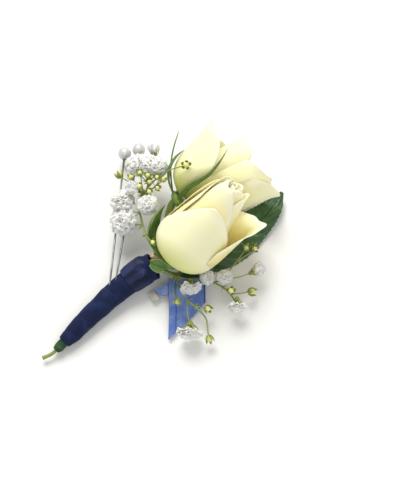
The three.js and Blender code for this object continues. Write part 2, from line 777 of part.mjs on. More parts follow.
const leftSpray = {
  florets: Object.values(left).flat(),
  buds: [
    { at: v(-34.9, 11.4, 14.4), facing: v(-1, 0.4, 0.4), radius: 1.5 },
    { at: v(-27.5, 16.9, 19), facing: v(-0.4, 0.3, 1), radius: 1.2 },
    { at: v(-29.6, 13.7, 17), facing: v(-0.6, 0, 1), radius: 1.2 },
    { at: v(-22.6, 17.4, 17.6), facing: v(0, 0.4, 1), radius: 1.2 },
    { at: v(-19.2, 21.7, 19), facing: v(0.3, 0.4, 1), radius: 1.3 },
    { at: v(-12.8, 30, 28.8), facing: FACING, radius: 1.4 },
    { at: v(-0.8, 0.8, 22), facing: v(0.5, 0, 1), radius: 1.1 },
  ],
  stems: [
    {
      points: [
        v(-2.9, -58.9, 2.4),
        v(-1.6, -55.6, 2.75),
        v(-1.45, -53.4, 2.9),
        inBundle(0, 0, 0),
        inBundle(0.09, 0, 0),
        inBundle(0.15, 0, 0),
        inBundle(0.2, -0.9, 0.4),
        inBundle(0.32, -0.7, 1.3),
        inBundle(0.45, 0.3, 2.1),
        inBundle(0.65, 0.9, 2.1),
        inBundle(0.85, 0.9, 2.2),
        v(0.9, -2.8, 10.8),
        v(-1.2, 0.2, 12),
        v(-8.6, 2.2, 12.9),
        leftFork,
      ],
      from: LONG_STEM_RADIUS,
      to: GYP_STEM_RADIUS,
    },
    branch(leftFork, v(-19.4, 9.4, 14), leftCrown, v(-24, 17.4, 14.4), v(-28.2, 21.4, 14.2)),
    twig(leftFork, v(-21.6, 4.6, 12.4), v(-25.4, 4.6, 11.2)),
    twig(v(-13, 4.4, 12.8), v(-17.4, 0.6, 10.8), v(-20.4, -0.6, 9.2)),
    twig(v(-19.4, 9.4, 14), v(-16.6, 10.8, 14.2)),
    twig(leftCrown, v(-24.8, 12.2, 13.7)),
    twig(v(-24, 17.4, 14.4), v(-29, 17.6, 13.6), v(-32, 18.4, 13.2)),
    twig(v(-24, 17.4, 14.4), v(-24.6, 21, 14.6), v(-24.6, 23.3, 15)),
    twig(v(-28.2, 21.4, 14.2), v(-31.2, 24.6, 11.6), v(-33.2, 27.6, 10)),
    twig(leftCrown, v(-29.6, 12.4, 14), v(-34, 11.4, 14.1)),
    twig(leftCrown, v(-24.6, 14.8, 16.4), v(-27.2, 16.8, 18.2)),
    twig(leftCrown, v(-26, 13.2, 15.4), v(-29.2, 13.7, 16.4)),
    twig(leftCrown, v(-22, 15.4, 16), v(-22.6, 17.2, 16.8)),
    twig(leftCrown, v(-20, 17.8, 16.6), v(-19.2, 21.3, 18)),
    twig(v(-20, 17.8, 16.6), v(-18.4, 24, 23.4), v(-13.4, 29.6, 28)),
    twig(v(-8.6, 2.2, 12.9), v(-5.6, 1, 19.8), v(-1.3, 0.8, 21.8)),
  ],
};

const rightFork = v(19, 7, 6.6);
const right = {
  edge: [{ at: v(35.6, 9.1, 6.6), facing: v(0.8, -0.5, 0.3), diameter: 6.4 }],
  upper: [{ at: v(24.6, 12.9, 9), facing: v(0.4, 0.3, 1), diameter: 4.6 }],
  inner: [{ at: v(19.7, 8.4, 8), facing: v(0.2, 0, 1), diameter: 4.2 }],
  halfOpen: [{ at: v(30.2, 22.6, 7.4), facing: v(0.4, 0.9, 0.4), diameter: 4.8 }],
  ribbonSide: [{ at: v(18.2, 0.4, 8.6), facing: v(0.7, -0.1, 0.7), diameter: 8.2 }],
  low: [{ at: v(28.9, -9.2, 6.6), facing: v(0.75, -0.65, 0.25), diameter: 9.6 }],
};
const rightSpray = {
  florets: Object.values(right).flat(),
  buds: [
    { at: v(30.6, 10.9, 9.6), facing: v(0.3, 0.2, 1), radius: 1.4 },
    { at: v(21.2, 27.6, 7.4), facing: v(0.1, 0.3, 1), radius: 1.2 },
    { at: v(23.6, 29.9, 6.8), facing: v(0.5, 0.3, 1), radius: 1.2 },
    { at: v(35.2, 16.9, 6.2), facing: v(0.8, 0.5, 0.4), radius: 2 },
    { at: v(37.4, -7.2, 5), facing: v(0.8, -0.5, 0.2), radius: 1.8 },
    { at: v(28.8, 0, 7.4), facing: v(0.8, 0, 0.6), radius: 1.8 },
    { at: v(18.8, -6.3, 8), facing: v(0.4, -0.8, 0.2), radius: 1.6 },
  ],
  stems: [
    branch(inBundle(0.8, 2.6, 1.6), v(3.7, -3.7, 9.6), v(10, 0, 6.6), v(15.4, 4.2, 5.9), rightFork),
    branch(rightFork, v(22.6, 8.8, 7), v(26.3, 10, 7.4), v(30.6, 10.2, 7.2), v(35, 9.4, 6.8)),
    twig(v(26.3, 10, 7.4), v(28.6, 10.6, 8.2), v(30.5, 10.9, 9)),
    twig(v(30.6, 10.2, 7.2), v(33, 13.4, 6.8), v(34.8, 16.4, 6.3)),
    twig(v(22.6, 8.8, 7), v(24.2, 12, 7.6), v(24.6, 12.8, 8)),
    twig(v(24.2, 12, 7.6), v(28, 17.6, 7.2), v(30, 22, 7.3)),
    twig(rightFork, v(19.3, 8.4, 7.4)),
    twig(v(24.2, 12, 7.6), v(22.4, 21, 6.6), v(21.2, 27.2, 6.8)),
    twig(v(22.4, 21, 6.6), v(23.6, 29.4, 6.2)),
    branch(v(10, 0, 6.6), v(14, -1.4, 7.6), v(17.6, 0.2, 8.2)),
    twig(v(14, -1.4, 7.6), v(20.4, -3.4, 6.8), v(25, -7, 6.6), v(28.4, -9, 6.5)),
    branch(v(20.4, -3.4, 6.8), v(27, -2.6, 6.4), v(31.3, -3.1, 6), v(35.6, -6.2, 5.2), v(37.2, -7.1, 5)),
    twig(v(24, -3, 6.6), v(28.4, -0.2, 7.2)),
    twig(v(10, 0, 6.6), v(13.6, -4.4, 7.8), v(18.2, -6, 8)),
  ],
};

// ---------------------------------------------------------------- wrap, tape, ribbon

/** How far the tape's surface stands out at a place: one sloping step for each turn. */
function windStep(along, angle) {
  const turns = (along * wrapLine.getLength()) / WRAP_PITCH;
  const phase = turns + angle / (2 * Math.PI);
  return WRAP_STEP * (phase - Math.floor(phase) - 0.5);
}

function pinHole(pin) {
  const { end, direction } = pinEnds(pin);
  const from = end.clone().addScaledVector(direction, -12);
  const to = end.clone().addScaledVector(direction, 1);
  return stem([from, from.clone().lerp(to, 0.5), to], PIN_HOLE_RADIUS, PIN_HOLE_RADIUS, 8, 1);
}

function navyWrap() {
  const tube = sleeve(
    0,
    1,
    (along, angle) => wrapRadius(along) + windStep(along, angle),
    (along) => wrapRadius(along) - WRAP_WALL,
    19,
    12,
  );
  return level(pins.reduce((body, pin) => body.subtract(pinHole(pin)), tube));
}

/** The band of ribbon that is wound round the top of the wrap and flares out under the flowers. */
function ribbonBand() {
  const flare = (along) => wrapRadius(along) + 2 * GAP + 1.1 * ease((along - 0.76) / 0.24);
  return sleeve(0.76, 0.985, (a) => flare(a) + RIBBON_THICKNESS, flare, 3, 16);
}

/** The ribbon's tail: a flat strip that lies down beside the stems and ends in a slanting cut. */
function ribbonTail() {
  const root = v(8.2, -2.2, 5.2);
  const towards = v(0.73, -0.68, 0).normalize();
  const across = v(0.68, 0.73, 0);
  const shortSide = 9.5;
  const longSide = 24;
  return blade(
    (u, t) => {
      const far = THREE.MathUtils.lerp(longSide, shortSide, u) * t;
      const p = root.clone().addScaledVector(towards, far).addScaledVector(across, u * RIBBON_WIDTH * 0.96);
      p.z = THREE.MathUtils.lerp(4.6, 1.2, ease(far / 17)) + 0.5 * Math.sin(u * Math.PI * 2);
      return p;
    },
    RIBBON_THICKNESS,
    4,
    5,
  );
}

/** The small loop of ribbon between the band and the tail. */
function ribbonLoop() {
  const line = [v(7.4, -9.4, 3.6), v(9.6, -9.2, 3.3), v(12, -7.8, 3), v(12, -5.4, 3.4), v(9.4, -2.6, 4.2)];
  const curve = new THREE.CatmullRomCurve3(line);
  const inwards = v(8.6, -5.2, 4.2);
  return blade(
    (u, t) => curve.getPoint(t).lerp(inwards, 0.55 * u),
    RIBBON_THICKNESS,
    1,
    6,
  );
}

function floralTape() {
  const mouth = -0.085;
  return sleeve(mouth, 0.16, () => 1.95, () => 1.28, 2, 12);
}

function tapeTab() {
  const corner = v(6.4, -12.2, 1.9);
  const reach = v(0.72, -0.1, -0.02).multiplyScalar(6);
  return blade((u, t) => corner.clone().addScaledVector(reach, t).add(v(0.4 * u, 3.2 * u, 0)), 0.6, 1, 1);
}

// ---------------------------------------------------------------- pieces

const PETAL_CREAM = 0xf3ecc4;
const CALYX_GREEN = 0x5d8a35;
const LEAF_GREEN = 0x1d4a24;
const GYP_GREEN = 0x7f9a4a;
const GYP_WHITE = 0xf6f6f0;
const NAVY = 0x1b2a5c;
const ROYAL = 0x3452a8;

const clearFront = frontRose.flower(2 * GAP);
const clearBack = backRose.flower(2 * GAP);
addPiece("rose_front_petals", level(frontRose.flower()), PETAL_CREAM, 0.55);
addPiece("rose_back_petals", level(backRose.flower()), PETAL_CREAM, 0.55);

const frontGreen = roseGreen(frontRose, frontSepals, frontStem, [cutStub], [clearFront, clearBack]);
const backGreen = roseGreen(backRose, backSepals, backStem, [], [clearFront, clearBack]);
addPiece("rose_front_green", level(frontGreen), CALYX_GREEN, 0.6);
addPiece("rose_back_green", level(backGreen), CALYX_GREEN, 0.6);

const leafBody = union([largeLeaf(), stem(leafStalk, 0.75, 0.65, 6, 2)]);
addPiece("leaf_large", level(leafBody.subtract(clearFront).subtract(clearBack)), LEAF_GREEN, 0.5);
addPiece("leaf_small", smallLeaf().subtract(clearFront), LEAF_GREEN, 0.5);

addPiece("gyp_left_green", level(sprayGreen(leftSpray)), GYP_GREEN, 0.6);
addPiece("gyp_right_green", level(sprayGreen(rightSpray)), GYP_GREEN, 0.6);

const clearStems = union([sprayGreen(leftSpray, GAP), sprayGreen(rightSpray, GAP)]);
const clearLeaf = largeLeaf(2 * GAP);
for (const [side, clusters] of Object.entries({ left, right })) {
  for (const [cluster, florets] of Object.entries(clusters)) {
    let body = union(florets.map(floret));
    for (const other of [clearFront, clearBack, clearLeaf, clearStems]) body = body.subtract(other);
    addPiece(`florets_${side}_${cluster}`, level(body), GYP_WHITE, 0.7);
  }
}

addPiece("stem_wrap", navyWrap(), NAVY, 0.65);
addPiece("floral_tape", level(floralTape()), 0x24452a, 0.7);
addPiece("ribbon_band", level(ribbonBand()), NAVY, 0.5);
addPiece("ribbon_tail", level(union([ribbonTail(), ribbonLoop()])), ROYAL, 0.5);
addPiece("tape_tab", level(tapeTab()), 0xc9c8c0, 0.5);

pins.forEach((pin, k) => {
  const { start, end } = pinEnds(pin);
  const shaft = stem([start, start.clone().lerp(end, 0.5), end], PIN_RADIUS, PIN_RADIUS, 8, 1);
  addPiece(`pin_${k + 1}_shaft`, shaft, 0x8c8f92, 0.3, 1);
  const pearl = solid(new THREE.SphereGeometry(PEARL_RADIUS, 12, 6));
  addPiece(`pin_${k + 1}_pearl`, placed(pearl, pin.head, v(0, 0, 1)), 0xd8d9dc, 0.25);
});

// The origin is the middle of the underside of the bounding box.
const bounds = new THREE.Box3().setFromObject(group, true);
const middle = bounds.getCenter(new THREE.Vector3());
group.position.set(-middle.x, -middle.y, -bounds.min.z);
group.updateMatrixWorld(true);

export default group;
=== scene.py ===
"""Dresses a boutonniere: two cream roses, a rose leaf and gypsophila, bound with navy tape and ribbon.

Sizes are millimetres in the maker's frame: the origin is on the surface under the binding, +Y runs
from the stem's cut end towards the flowers and +Z is up. SHIFT moves them into the row frame.
"""

import logging
import math
from collections.abc import Callable, Sequence
from dataclasses import dataclass, field
from enum import Enum

import bpy
import numpy as np
from mathutils import Matrix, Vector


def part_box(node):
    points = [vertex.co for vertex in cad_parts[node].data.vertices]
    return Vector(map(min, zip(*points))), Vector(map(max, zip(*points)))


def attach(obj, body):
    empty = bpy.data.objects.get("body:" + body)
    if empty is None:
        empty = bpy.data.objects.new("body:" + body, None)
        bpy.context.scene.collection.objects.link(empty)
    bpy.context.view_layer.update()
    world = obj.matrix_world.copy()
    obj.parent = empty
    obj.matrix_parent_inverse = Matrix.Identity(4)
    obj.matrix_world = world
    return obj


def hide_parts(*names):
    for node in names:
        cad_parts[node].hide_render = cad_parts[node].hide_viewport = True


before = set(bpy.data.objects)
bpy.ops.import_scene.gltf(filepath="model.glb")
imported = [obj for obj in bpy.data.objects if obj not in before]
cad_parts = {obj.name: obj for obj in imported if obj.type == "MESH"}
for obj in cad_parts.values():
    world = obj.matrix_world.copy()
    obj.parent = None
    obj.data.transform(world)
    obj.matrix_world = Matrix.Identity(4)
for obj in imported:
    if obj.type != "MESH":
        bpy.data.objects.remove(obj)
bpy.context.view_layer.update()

Array = np.ndarray
Place = tuple[float, float, float]
Faces = list[tuple[int, ...]]
MM = 0.001
TINY = 1e-9
LEAST_HEIGHT = 0.02  # nothing dips nearer to the surface
SHOWN_SIDE = (0.337, -0.164, 0.927)  # the way that both flowers show their best side
FACING = np.array(SHOWN_SIDE) / np.linalg.norm(SHOWN_SIDE)
UP = np.array([0.0, 0.0, 1.0])
ASIDE = np.array([0.3, 1.0, 0.1])  # a way that no stem or flower points exactly
log = logging.getLogger("boutonniere")


# ---------------------------------------------------------------- numbers


def vec(x: float, y: float, z: float) -> Array:
    """A point or direction."""
    return np.array([x, y, z], float)


def unit(direction: Array) -> Array:
    """The direction at length one, also for a grid of directions."""
    size = np.linalg.norm(direction, axis=-1, keepdims=True)
    return direction / np.maximum(size, TINY)


def ease(x: Array | float) -> Array:
    """Runs smoothly from 0 to 1 as x does."""
    held = np.clip(x, 0.0, 1.0)
    return held * held * (3.0 - 2.0 * held)


def mixed(low: Array | float, high: Array | float, share: Array | float) -> Array:
    """The value that lies between low and high at that share."""
    return low + (high - low) * share


def joined(x: Array | float, y: Array | float, z: Array | float) -> Array:
    """Three grids of numbers as one grid of points."""
    return np.stack(np.broadcast_arrays(x, y, z), -1)


def spun(points: Array, angle: Array | float) -> Array:
    """Points turned about +Z, by one angle in radians or by one for each."""
    c, s = np.cos(angle), np.sin(angle)
    x, y, z = points[..., 0], points[..., 1], points[..., 2]
    return joined(x * c - y * s, x * s + y * c, z)


def around(sides: int) -> Array:
    """The angles of that many sides."""
    return np.linspace(0, 2 * math.pi, sides, endpoint=False)


def blade_grid(across: int, along: int, root: float = 0.0) -> tuple[Array, Array]:
    """Positions over a blade: -1 to 1 from edge to edge, as rows, and root to 1 along it."""
    return np.linspace(-1.0, 1.0, across)[:, None], np.linspace(root, 1.0, along)[None, :]


def own_tone(number: int, step: float = 0.37) -> float:
    """A shade of its own for each of a row of alike things, 0 to 1."""
    return number * step % 1


WAVES = 4
WAVE_PACE = 3.4  # how far the first wave turns over one unit at most, in radians
WAVE_START = 6.28  # it starts anywhere up to here
WAVE_FASTER = 0.5  # how much faster each further wave may run
WAVE_WEAKER = 0.6  # how much lower each further wave is
WAVE_SUM = 1.9  # about the height that all of them reach together


def waviness(u: Array, v: Array, seed: int) -> Array:
    """A soft uneven surface height, about -1 to 1.

    Args:
        u: Positions one way.
        v: Positions the other way.
        seed: Which unevenness.

    Returns:
        The height at each position.
    """
    draw = np.random.default_rng(seed)
    total = np.zeros(np.broadcast(u, v).shape)
    for k in range(WAVES):
        turn_u, turn_v = draw.uniform(-WAVE_PACE, WAVE_PACE, 2) * (1 + WAVE_FASTER * k)
        wave = np.sin(turn_u * u + turn_v * v + draw.uniform(0, WAVE_START))
        total = total + wave / (1 + WAVE_WEAKER * k)
    return total / WAVE_SUM


class Spline:
    """A centripetal Catmull-Rom curve through points, read evenly along its length."""

    SAMPLES = 600
    STEP = 0.004  # the share of the length over which a direction is read
    LEAST_GAP = 1e-4

    def __init__(self, points: Sequence[Array]) -> None:
        """Args: points: What the curve passes through."""
        self.knots = np.array(points, float)
        shares = np.linspace(0.0, 1.0, self.SAMPLES)
        self.fine = np.array([self._at(t) for t in shares])
        steps = np.linalg.norm(np.diff(self.fine, axis=0), axis=1)
        self.reached = np.concatenate([[0.0], np.cumsum(steps)])
        self.length = float(self.reached[-1])

    def _at(self, t: float) -> Array:
        """The point at a share of the knots."""
        last = len(self.knots) - 1
        k = min(int(t * last), last - 1)
        w = t * last - k
        p1, p2 = self.knots[k], self.knots[k + 1]
        p0 = self.knots[k - 1] if k > 0 else 2 * p1 - p2
        p3 = self.knots[k + 2] if k + 2 <= last else 2 * p2 - p1
        gaps = [p1 - p0, p2 - p1, p3 - p2]
        d0, d1, d2 = (max(np.linalg.norm(gap), self.LEAST_GAP) ** 0.5 for gap in gaps)
        m1 = ((p1 - p0) / d0 - (p2 - p0) / (d0 + d1) + (p2 - p1) / d1) * d1
        m2 = ((p2 - p1) / d1 - (p3 - p1) / (d1 + d2) + (p3 - p2) / d2) * d1
        c2 = 3 * (p2 - p1) - 2 * m1 - m2
        c3 = 2 * (p1 - p2) + m1 + m2
        return p1 + m1 * w + c2 * w * w + c3 * w**3

    def at(self, share: Array | float) -> Array:
        """Points at even shares of the length; past an end the curve runs straight on."""
        share = np.asarray(share, float)
        held = np.clip(share, 0.0, 1.0)
        found = [np.interp(held * self.length, self.reached, self.fine[:, i]) for i in range(3)]
        beyond = (share - held) * self.length
        return np.stack(found, -1) + beyond[..., None] * self.tangent(share)

    def even(self, count: int) -> Array:
        """That many points, evenly spaced from end to end."""
        return self.at(np.linspace(0.0, 1.0, count))

    def tangent(self, share: Array | float) -> Array:
        """The forward direction at shares of the length."""
        held = np.clip(np.asarray(share, float), 0.0, 1.0) * self.length
        step = self.length * self.STEP
        ahead, behind = np.minimum(held + step, self.length), np.maximum(held - step, 0.0)
        rows = [np.interp(ahead, self.reached, c) - np.interp(behind, self.reached, c) for c in self.fine.T]
        return unit(np.stack(rows, -1))


# ---------------------------------------------------------------- meshes


@dataclass
class Patch:
    """A closed bit of skin: its points, its faces, and what the finishes read at each point."""

    points: Array
    faces: Faces
    along: Array
    across: Array

    def turned(self, at: Array, direction: Array, twist: float = 0.0) -> "Patch":
        """Stands the patch, made along +Z, at a place.

        Args:
            at: Where its origin goes.
            direction: Where its +Z points.
            twist: How far it is turned about its own axis, in radians.

        Returns:
            The same patch, moved.
        """
        z = unit(direction)
        x = unit(np.cross(ASIDE, z))
        y = np.cross(z, x)
        c, s = math.cos(twist), math.sin(twist)
        basis = np.stack([c * x + s * y, c * y - s * x, z])
        self.points = self.points @ basis + at
        return self


def grid_faces(rows: int, columns: int, offset: int = 0, flip: bool = False) -> Faces:
    """Four-sided faces over a grid of points."""
    i, j = np.meshgrid(np.arange(rows - 1), np.arange(columns - 1), indexing="ij")
    a = (offset + i * columns + j).ravel()
    b, c, d = a + columns, a + columns + 1, a + 1
    quads = np.stack([a, d, c, b] if flip else [a, b, c, d], 1)
    return [tuple(q) for q in quads.tolist()]


SIDE_POWER = 8  # how suddenly a blade thins at its sides
END_POWER = 12  # how suddenly it thins at its end


def thin(grid: Array, thickness: float, edge: float = 0.45) -> Patch:
    """A closed thin blade round a middle surface, finer towards its rim.

    Args:
        grid: Points, across by along by 3.
        thickness: How thick it is in its middle.
        edge: The rim's share of that thickness.

    Returns:
        The blade as a patch; along is 0 at the root and 1 at the rim.
    """
    across, along, _ = grid.shape
    u, v = np.broadcast_arrays(*blade_grid(across, along))
    rim = 1 - (1 - edge) * np.maximum(np.abs(u) ** SIDE_POWER, v**END_POWER)
    normals = unit(np.cross(np.gradient(grid, axis=0), np.gradient(grid, axis=1)))
    offset = normals * (thickness * rim / 2)[..., None]
    points = np.concatenate([(grid + offset).reshape(-1, 3), (grid - offset).reshape(-1, 3)])
    back = across * along
    faces = grid_faces(across, along) + grid_faces(across, along, back, flip=True)
    border = list(range(along))
    border += [i * along + along - 1 for i in range(1, across)]
    border += [(across - 1) * along + j for j in range(along - 2, -1, -1)]
    border += [i * along for i in range(across - 2, 0, -1)]
    for a, b in zip(border, border[1:] + border[:1]):
        faces.append((a, b, back + b, back + a))
    return Patch(points, faces, np.tile(v.ravel(), 2), np.tile(u.ravel(), 2))


def capped(rings: Array, ends: Sequence[Array]) -> Patch:
    """A closed round body through rings of points.

    Args:
        rings: Points, by ring and then round it.
        ends: The middle of its first end and of its last.

    Returns:
        The body as a patch.
    """
    count, sides, _ = rings.shape
    foot, top = count * sides, count * sides + 1
    faces: Faces = []
    for i in range(sides):
        n = (i + 1) % sides
        for low in range(0, (count - 1) * sides, sides):
            faces.append((low + i, low + n, low + sides + n, low + sides + i))
        faces.append((foot, n, i))
        faces.append((top, foot - sides + i, foot - sides + n))
    along = np.repeat(np.linspace(0, 1, count), sides)
    across = np.tile(around(sides) / (2 * math.pi), count)
    points = np.concatenate([rings.reshape(-1, 3), ends])
    return Patch(points, faces, np.append(along, [0, 1]), np.append(across, [0, 0]))


UPRIGHT = 1e-3  # sine of the angle to UP under which a stem counts as upright


def tube(path: Array, radii: Array, sides: int) -> Patch:
    """A closed round stem along points.

    Args:
        path: The points of its middle line.
        radii: Its radius at each of them.
        sides: How many sides it has.

    Returns:
        The stem as a patch.
    """
    forward = unit(np.gradient(path, axis=0))
    side = np.cross(forward[0], UP)
    if np.linalg.norm(side) < UPRIGHT:
        side = np.cross(forward[0], vec(1, 0, 0))
    angles = around(sides)[:, None]
    rings = []
    for at, radius, ahead in zip(path, radii, forward):
        side = unit(side - ahead * (side @ ahead))
        other = np.cross(ahead, side)
        rings.append(at + radius * (np.cos(angles) * side + np.sin(angles) * other))
    return capped(np.array(rings), (path[0], path[-1]))


def stalk(points: Sequence[Array], thick: float, fine: float, rows: int, sides: int) -> Patch:
    """A round stem through points, thinned evenly from its start to its end."""
    return tube(Spline(points).even(rows), mixed(thick, fine, np.linspace(0, 1, rows)), sides)


LEAST_RADIUS = 0.01


def lathe(
    profile: Sequence[tuple[float, float]], sides: int, rows: int, ribs: int = 0, depth: float = 0.0
) -> Patch:
    """A closed turned body along +Z, with soft ribs if wanted.

    Args:
        profile: Radius and height, from its foot to its top, both on the axis.
        sides: How many sides it has.
        rows: How many rows of faces.
        ribs: How many ribs run up it.
        depth: How deep the grooves between them are, as a share of the radius.

    Returns:
        The body as a patch.
    """
    line = Spline([vec(r, 0, h) for r, h in profile]).even(rows + 1)
    radii = np.maximum(line[1:-1, 0], LEAST_RADIUS)[:, None]
    angles = around(sides)
    ribbed = 1 - depth * (0.5 + 0.5 * np.cos(ribs * angles))
    rings = joined(radii * (np.cos(angles) * ribbed), radii * (np.sin(angles) * ribbed), line[1:-1, 2:3])
    return capped(rings, (vec(0, 0, line[0, 2]), vec(0, 0, line[-1, 2])))


class Skin:
    """Gathers closed patches into one mesh object."""

    def __init__(self, name: str) -> None:
        """Args: name: What the object is called."""
        self.name = name
        self.points: list[Array] = []
        self.faces: Faces = []
        self.finish_of: list[int] = []
        self.values: dict[str, list[Array]] = {"along": [], "across": [], "tone": [], "depth": []}
        self.count = 0

    def add(self, patch: Patch, finish: int = 0, tone: float = 0.5, depth: float | Array = 0.0) -> None:
        """Adds one patch.

        Args:
            patch: The closed bit of skin.
            finish: Which of the object's finishes it has.
            tone: Its own shade, 0 to 1.
            depth: How deep in the flower it lies, 0 to 1; on a petal, how much painted golden shade of the
                flower's hollow it takes.
        """
        size = len(patch.points)
        self.points.append(patch.points)
        self.faces.extend(tuple(i + self.count for i in face) for face in patch.faces)
        self.finish_of.extend([finish] * len(patch.faces))
        given = {"along": patch.along, "across": patch.across, "tone": tone, "depth": depth}
        for key, value in given.items():
            self.values[key].append(np.ones(size) * value)
        self.count += size

    def build(self, finishes: Sequence["Finish"]) -> bpy.types.Object:
        """Makes the object; nothing of it dips below the surface.

        Args:
            finishes: Its finishes, in order.

        Returns:
            The object, in the row frame, in metres.
        """
        points = np.concatenate(self.points)
        points[:, 2] = np.maximum(points[:, 2], LEAST_HEIGHT)
        mesh = bpy.data.meshes.new(self.name)
        mesh.from_pydata(((points + SHIFT) * MM).tolist(), [], self.faces)
        mesh.polygons.foreach_set("use_smooth", [True] * len(self.faces))
        mesh.polygons.foreach_set("material_index", self.finish_of)
        for key, arrays in self.values.items():
            layer = mesh.attributes.new(key, "FLOAT", "POINT")
            layer.data.foreach_set("value", np.concatenate(arrays).astype(np.float32))
        for finish in finishes:
            mesh.materials.append(finish.material())
        mesh.update()
        made = bpy.data.objects.new(self.name, mesh)
        bpy.context.scene.collection.objects.link(made)
        return made


# ---------------------------------------------------------------- finishes

Socket = bpy.types.NodeSocket
Signal = Socket | float
Colour = tuple[float, float, float]


class Recipe:
    """Wires up the nodes of one material."""

    def __init__(self, name: str) -> None:
        """Args: name: The material's name."""
        self.material = bpy.data.materials.new(name)
        self.material.use_nodes = True
        self.tree = self.material.node_tree
        self.shader = self.tree.nodes["Principled BSDF"]
        self._place: Socket | None = None

    def _wire(self, target: Socket, source: Signal | Sequence[float]) -> None:
        """Links or sets one input."""
        if isinstance(source, bpy.types.NodeSocket):
            self.tree.links.new(source, target)
        elif isinstance(source, (tuple, list)) and len(source) == 3 and target.type == "RGBA":
            target.default_value = (*source, 1.0)
        else:
            target.default_value = source

    def set(self, **inputs: Signal | Sequence[float]) -> None:
        """Sets or links the shader's own inputs; an underscore stands for a space."""
        for name, source in inputs.items():
            self._wire(self.shader.inputs[name.replace("_", " ")], source)

    def place(self) -> Socket:
        """Where a point lies on the object, in metres."""
        if self._place is None:
            self._place = self.tree.nodes.new("ShaderNodeTexCoord").outputs["Object"]
        return self._place

    def values(self, *names: str) -> list[Socket]:
        """Values that the mesh carries at each point."""
        found = []
        for name in names:
            node = self.tree.nodes.new("ShaderNodeAttribute")
            node.attribute_name = name
            found.append(node.outputs["Fac"])
        return found

    def vector(self, x: Signal, y: Signal, z: Signal) -> Socket:
        """Three values as one place."""
        node = self.tree.nodes.new("ShaderNodeCombineXYZ")
        for target, source in zip(node.inputs, (x, y, z)):
            self._wire(target, source)
        return node.outputs[0]

    def noise(self, scale: float, detail: float, where: Socket | None = None) -> Socket:
        """Cloudy values, 0 to 1, over the object or over another place."""
        node = self.tree.nodes.new("ShaderNodeTexNoise")
        node.inputs["Scale"].default_value = scale
        node.inputs["Detail"].default_value = detail
        self._wire(node.inputs["Vector"], self.place() if where is None else where)
        return node.outputs["Fac"]

    def calc(self, operation: str, *terms: Signal) -> Socket:
        """One sum on values."""
        node = self.tree.nodes.new("ShaderNodeMath")
        node.operation = operation
        for target, source in zip(node.inputs, terms):
            self._wire(target, source)
        return node.outputs[0]

    def times(self, a: Signal, b: Signal) -> Socket:
        """One value times another."""
        return self.calc("MULTIPLY", a, b)

    def spread(self, value: Socket, low: float, high: float, least: float = 0.0, most: float = 1.0) -> Socket:
        """Stretches a range of values onto another, smoothly and held at its ends."""
        node = self.tree.nodes.new("ShaderNodeMapRange")
        node.interpolation_type = "SMOOTHSTEP"
        for target, source in zip(node.inputs, (value, low, high, least, most)):
            self._wire(target, source)
        return node.outputs[0]

    def off_middle(self, value: Socket) -> Socket:
        """How far a value lies from the middle between two whole numbers, 0 to 0.5."""
        return self.calc("ABSOLUTE", self.calc("SUBTRACT", self.calc("FRACT", value), 0.5))

    def blend(self, share: Signal, a: Socket | Colour, b: Socket | Colour) -> Socket:
        """One colour over another."""
        node = self.tree.nodes.new("ShaderNodeMix")
        node.data_type = "RGBA"
        for name, source in (("Factor_Float", share), ("A_Color", a), ("B_Color", b)):
            target = next(s for s in node.inputs if s.identifier == name)
            self._wire(target, source)
        return next(s for s in node.outputs if s.identifier == "Result_Color")

    def ramp(self, share: Socket, stops: Sequence[tuple[float, Colour]]) -> Socket:
        """A colour that changes with a value."""
        node = self.tree.nodes.new("ShaderNodeValToRGB")
        elements = node.color_ramp.elements
        while len(elements) < len(stops):
            elements.new(0.5)
        for element, (position, colour) in zip(elements, stops):
            element.position = position
            element.color = (*colour, 1.0)
        self._wire(node.inputs[0], share)
        return node.outputs[0]

    def bump(self, height: Socket, distance: float) -> None:
        """Raises the surface a little, by that many millimetres."""
        node = self.tree.nodes.new("ShaderNodeBump")
        node.inputs["Distance"].default_value = distance * MM
        self._wire(node.inputs["Height"], height)
        self._wire(self.shader.inputs["Normal"], node.outputs[0])


class Finish:
    """What a surface is made of; its material is made once."""

    made: dict["Finish", bpy.types.Material] = {}

    def material(self) -> bpy.types.Material:
        """The finish's material."""
        if self not in Finish.made:
            Finish.made[self] = self.mix()
        return Finish.made[self]

    def mix(self) -> bpy.types.Material:
        """Makes the material."""
        raise NotImplementedError


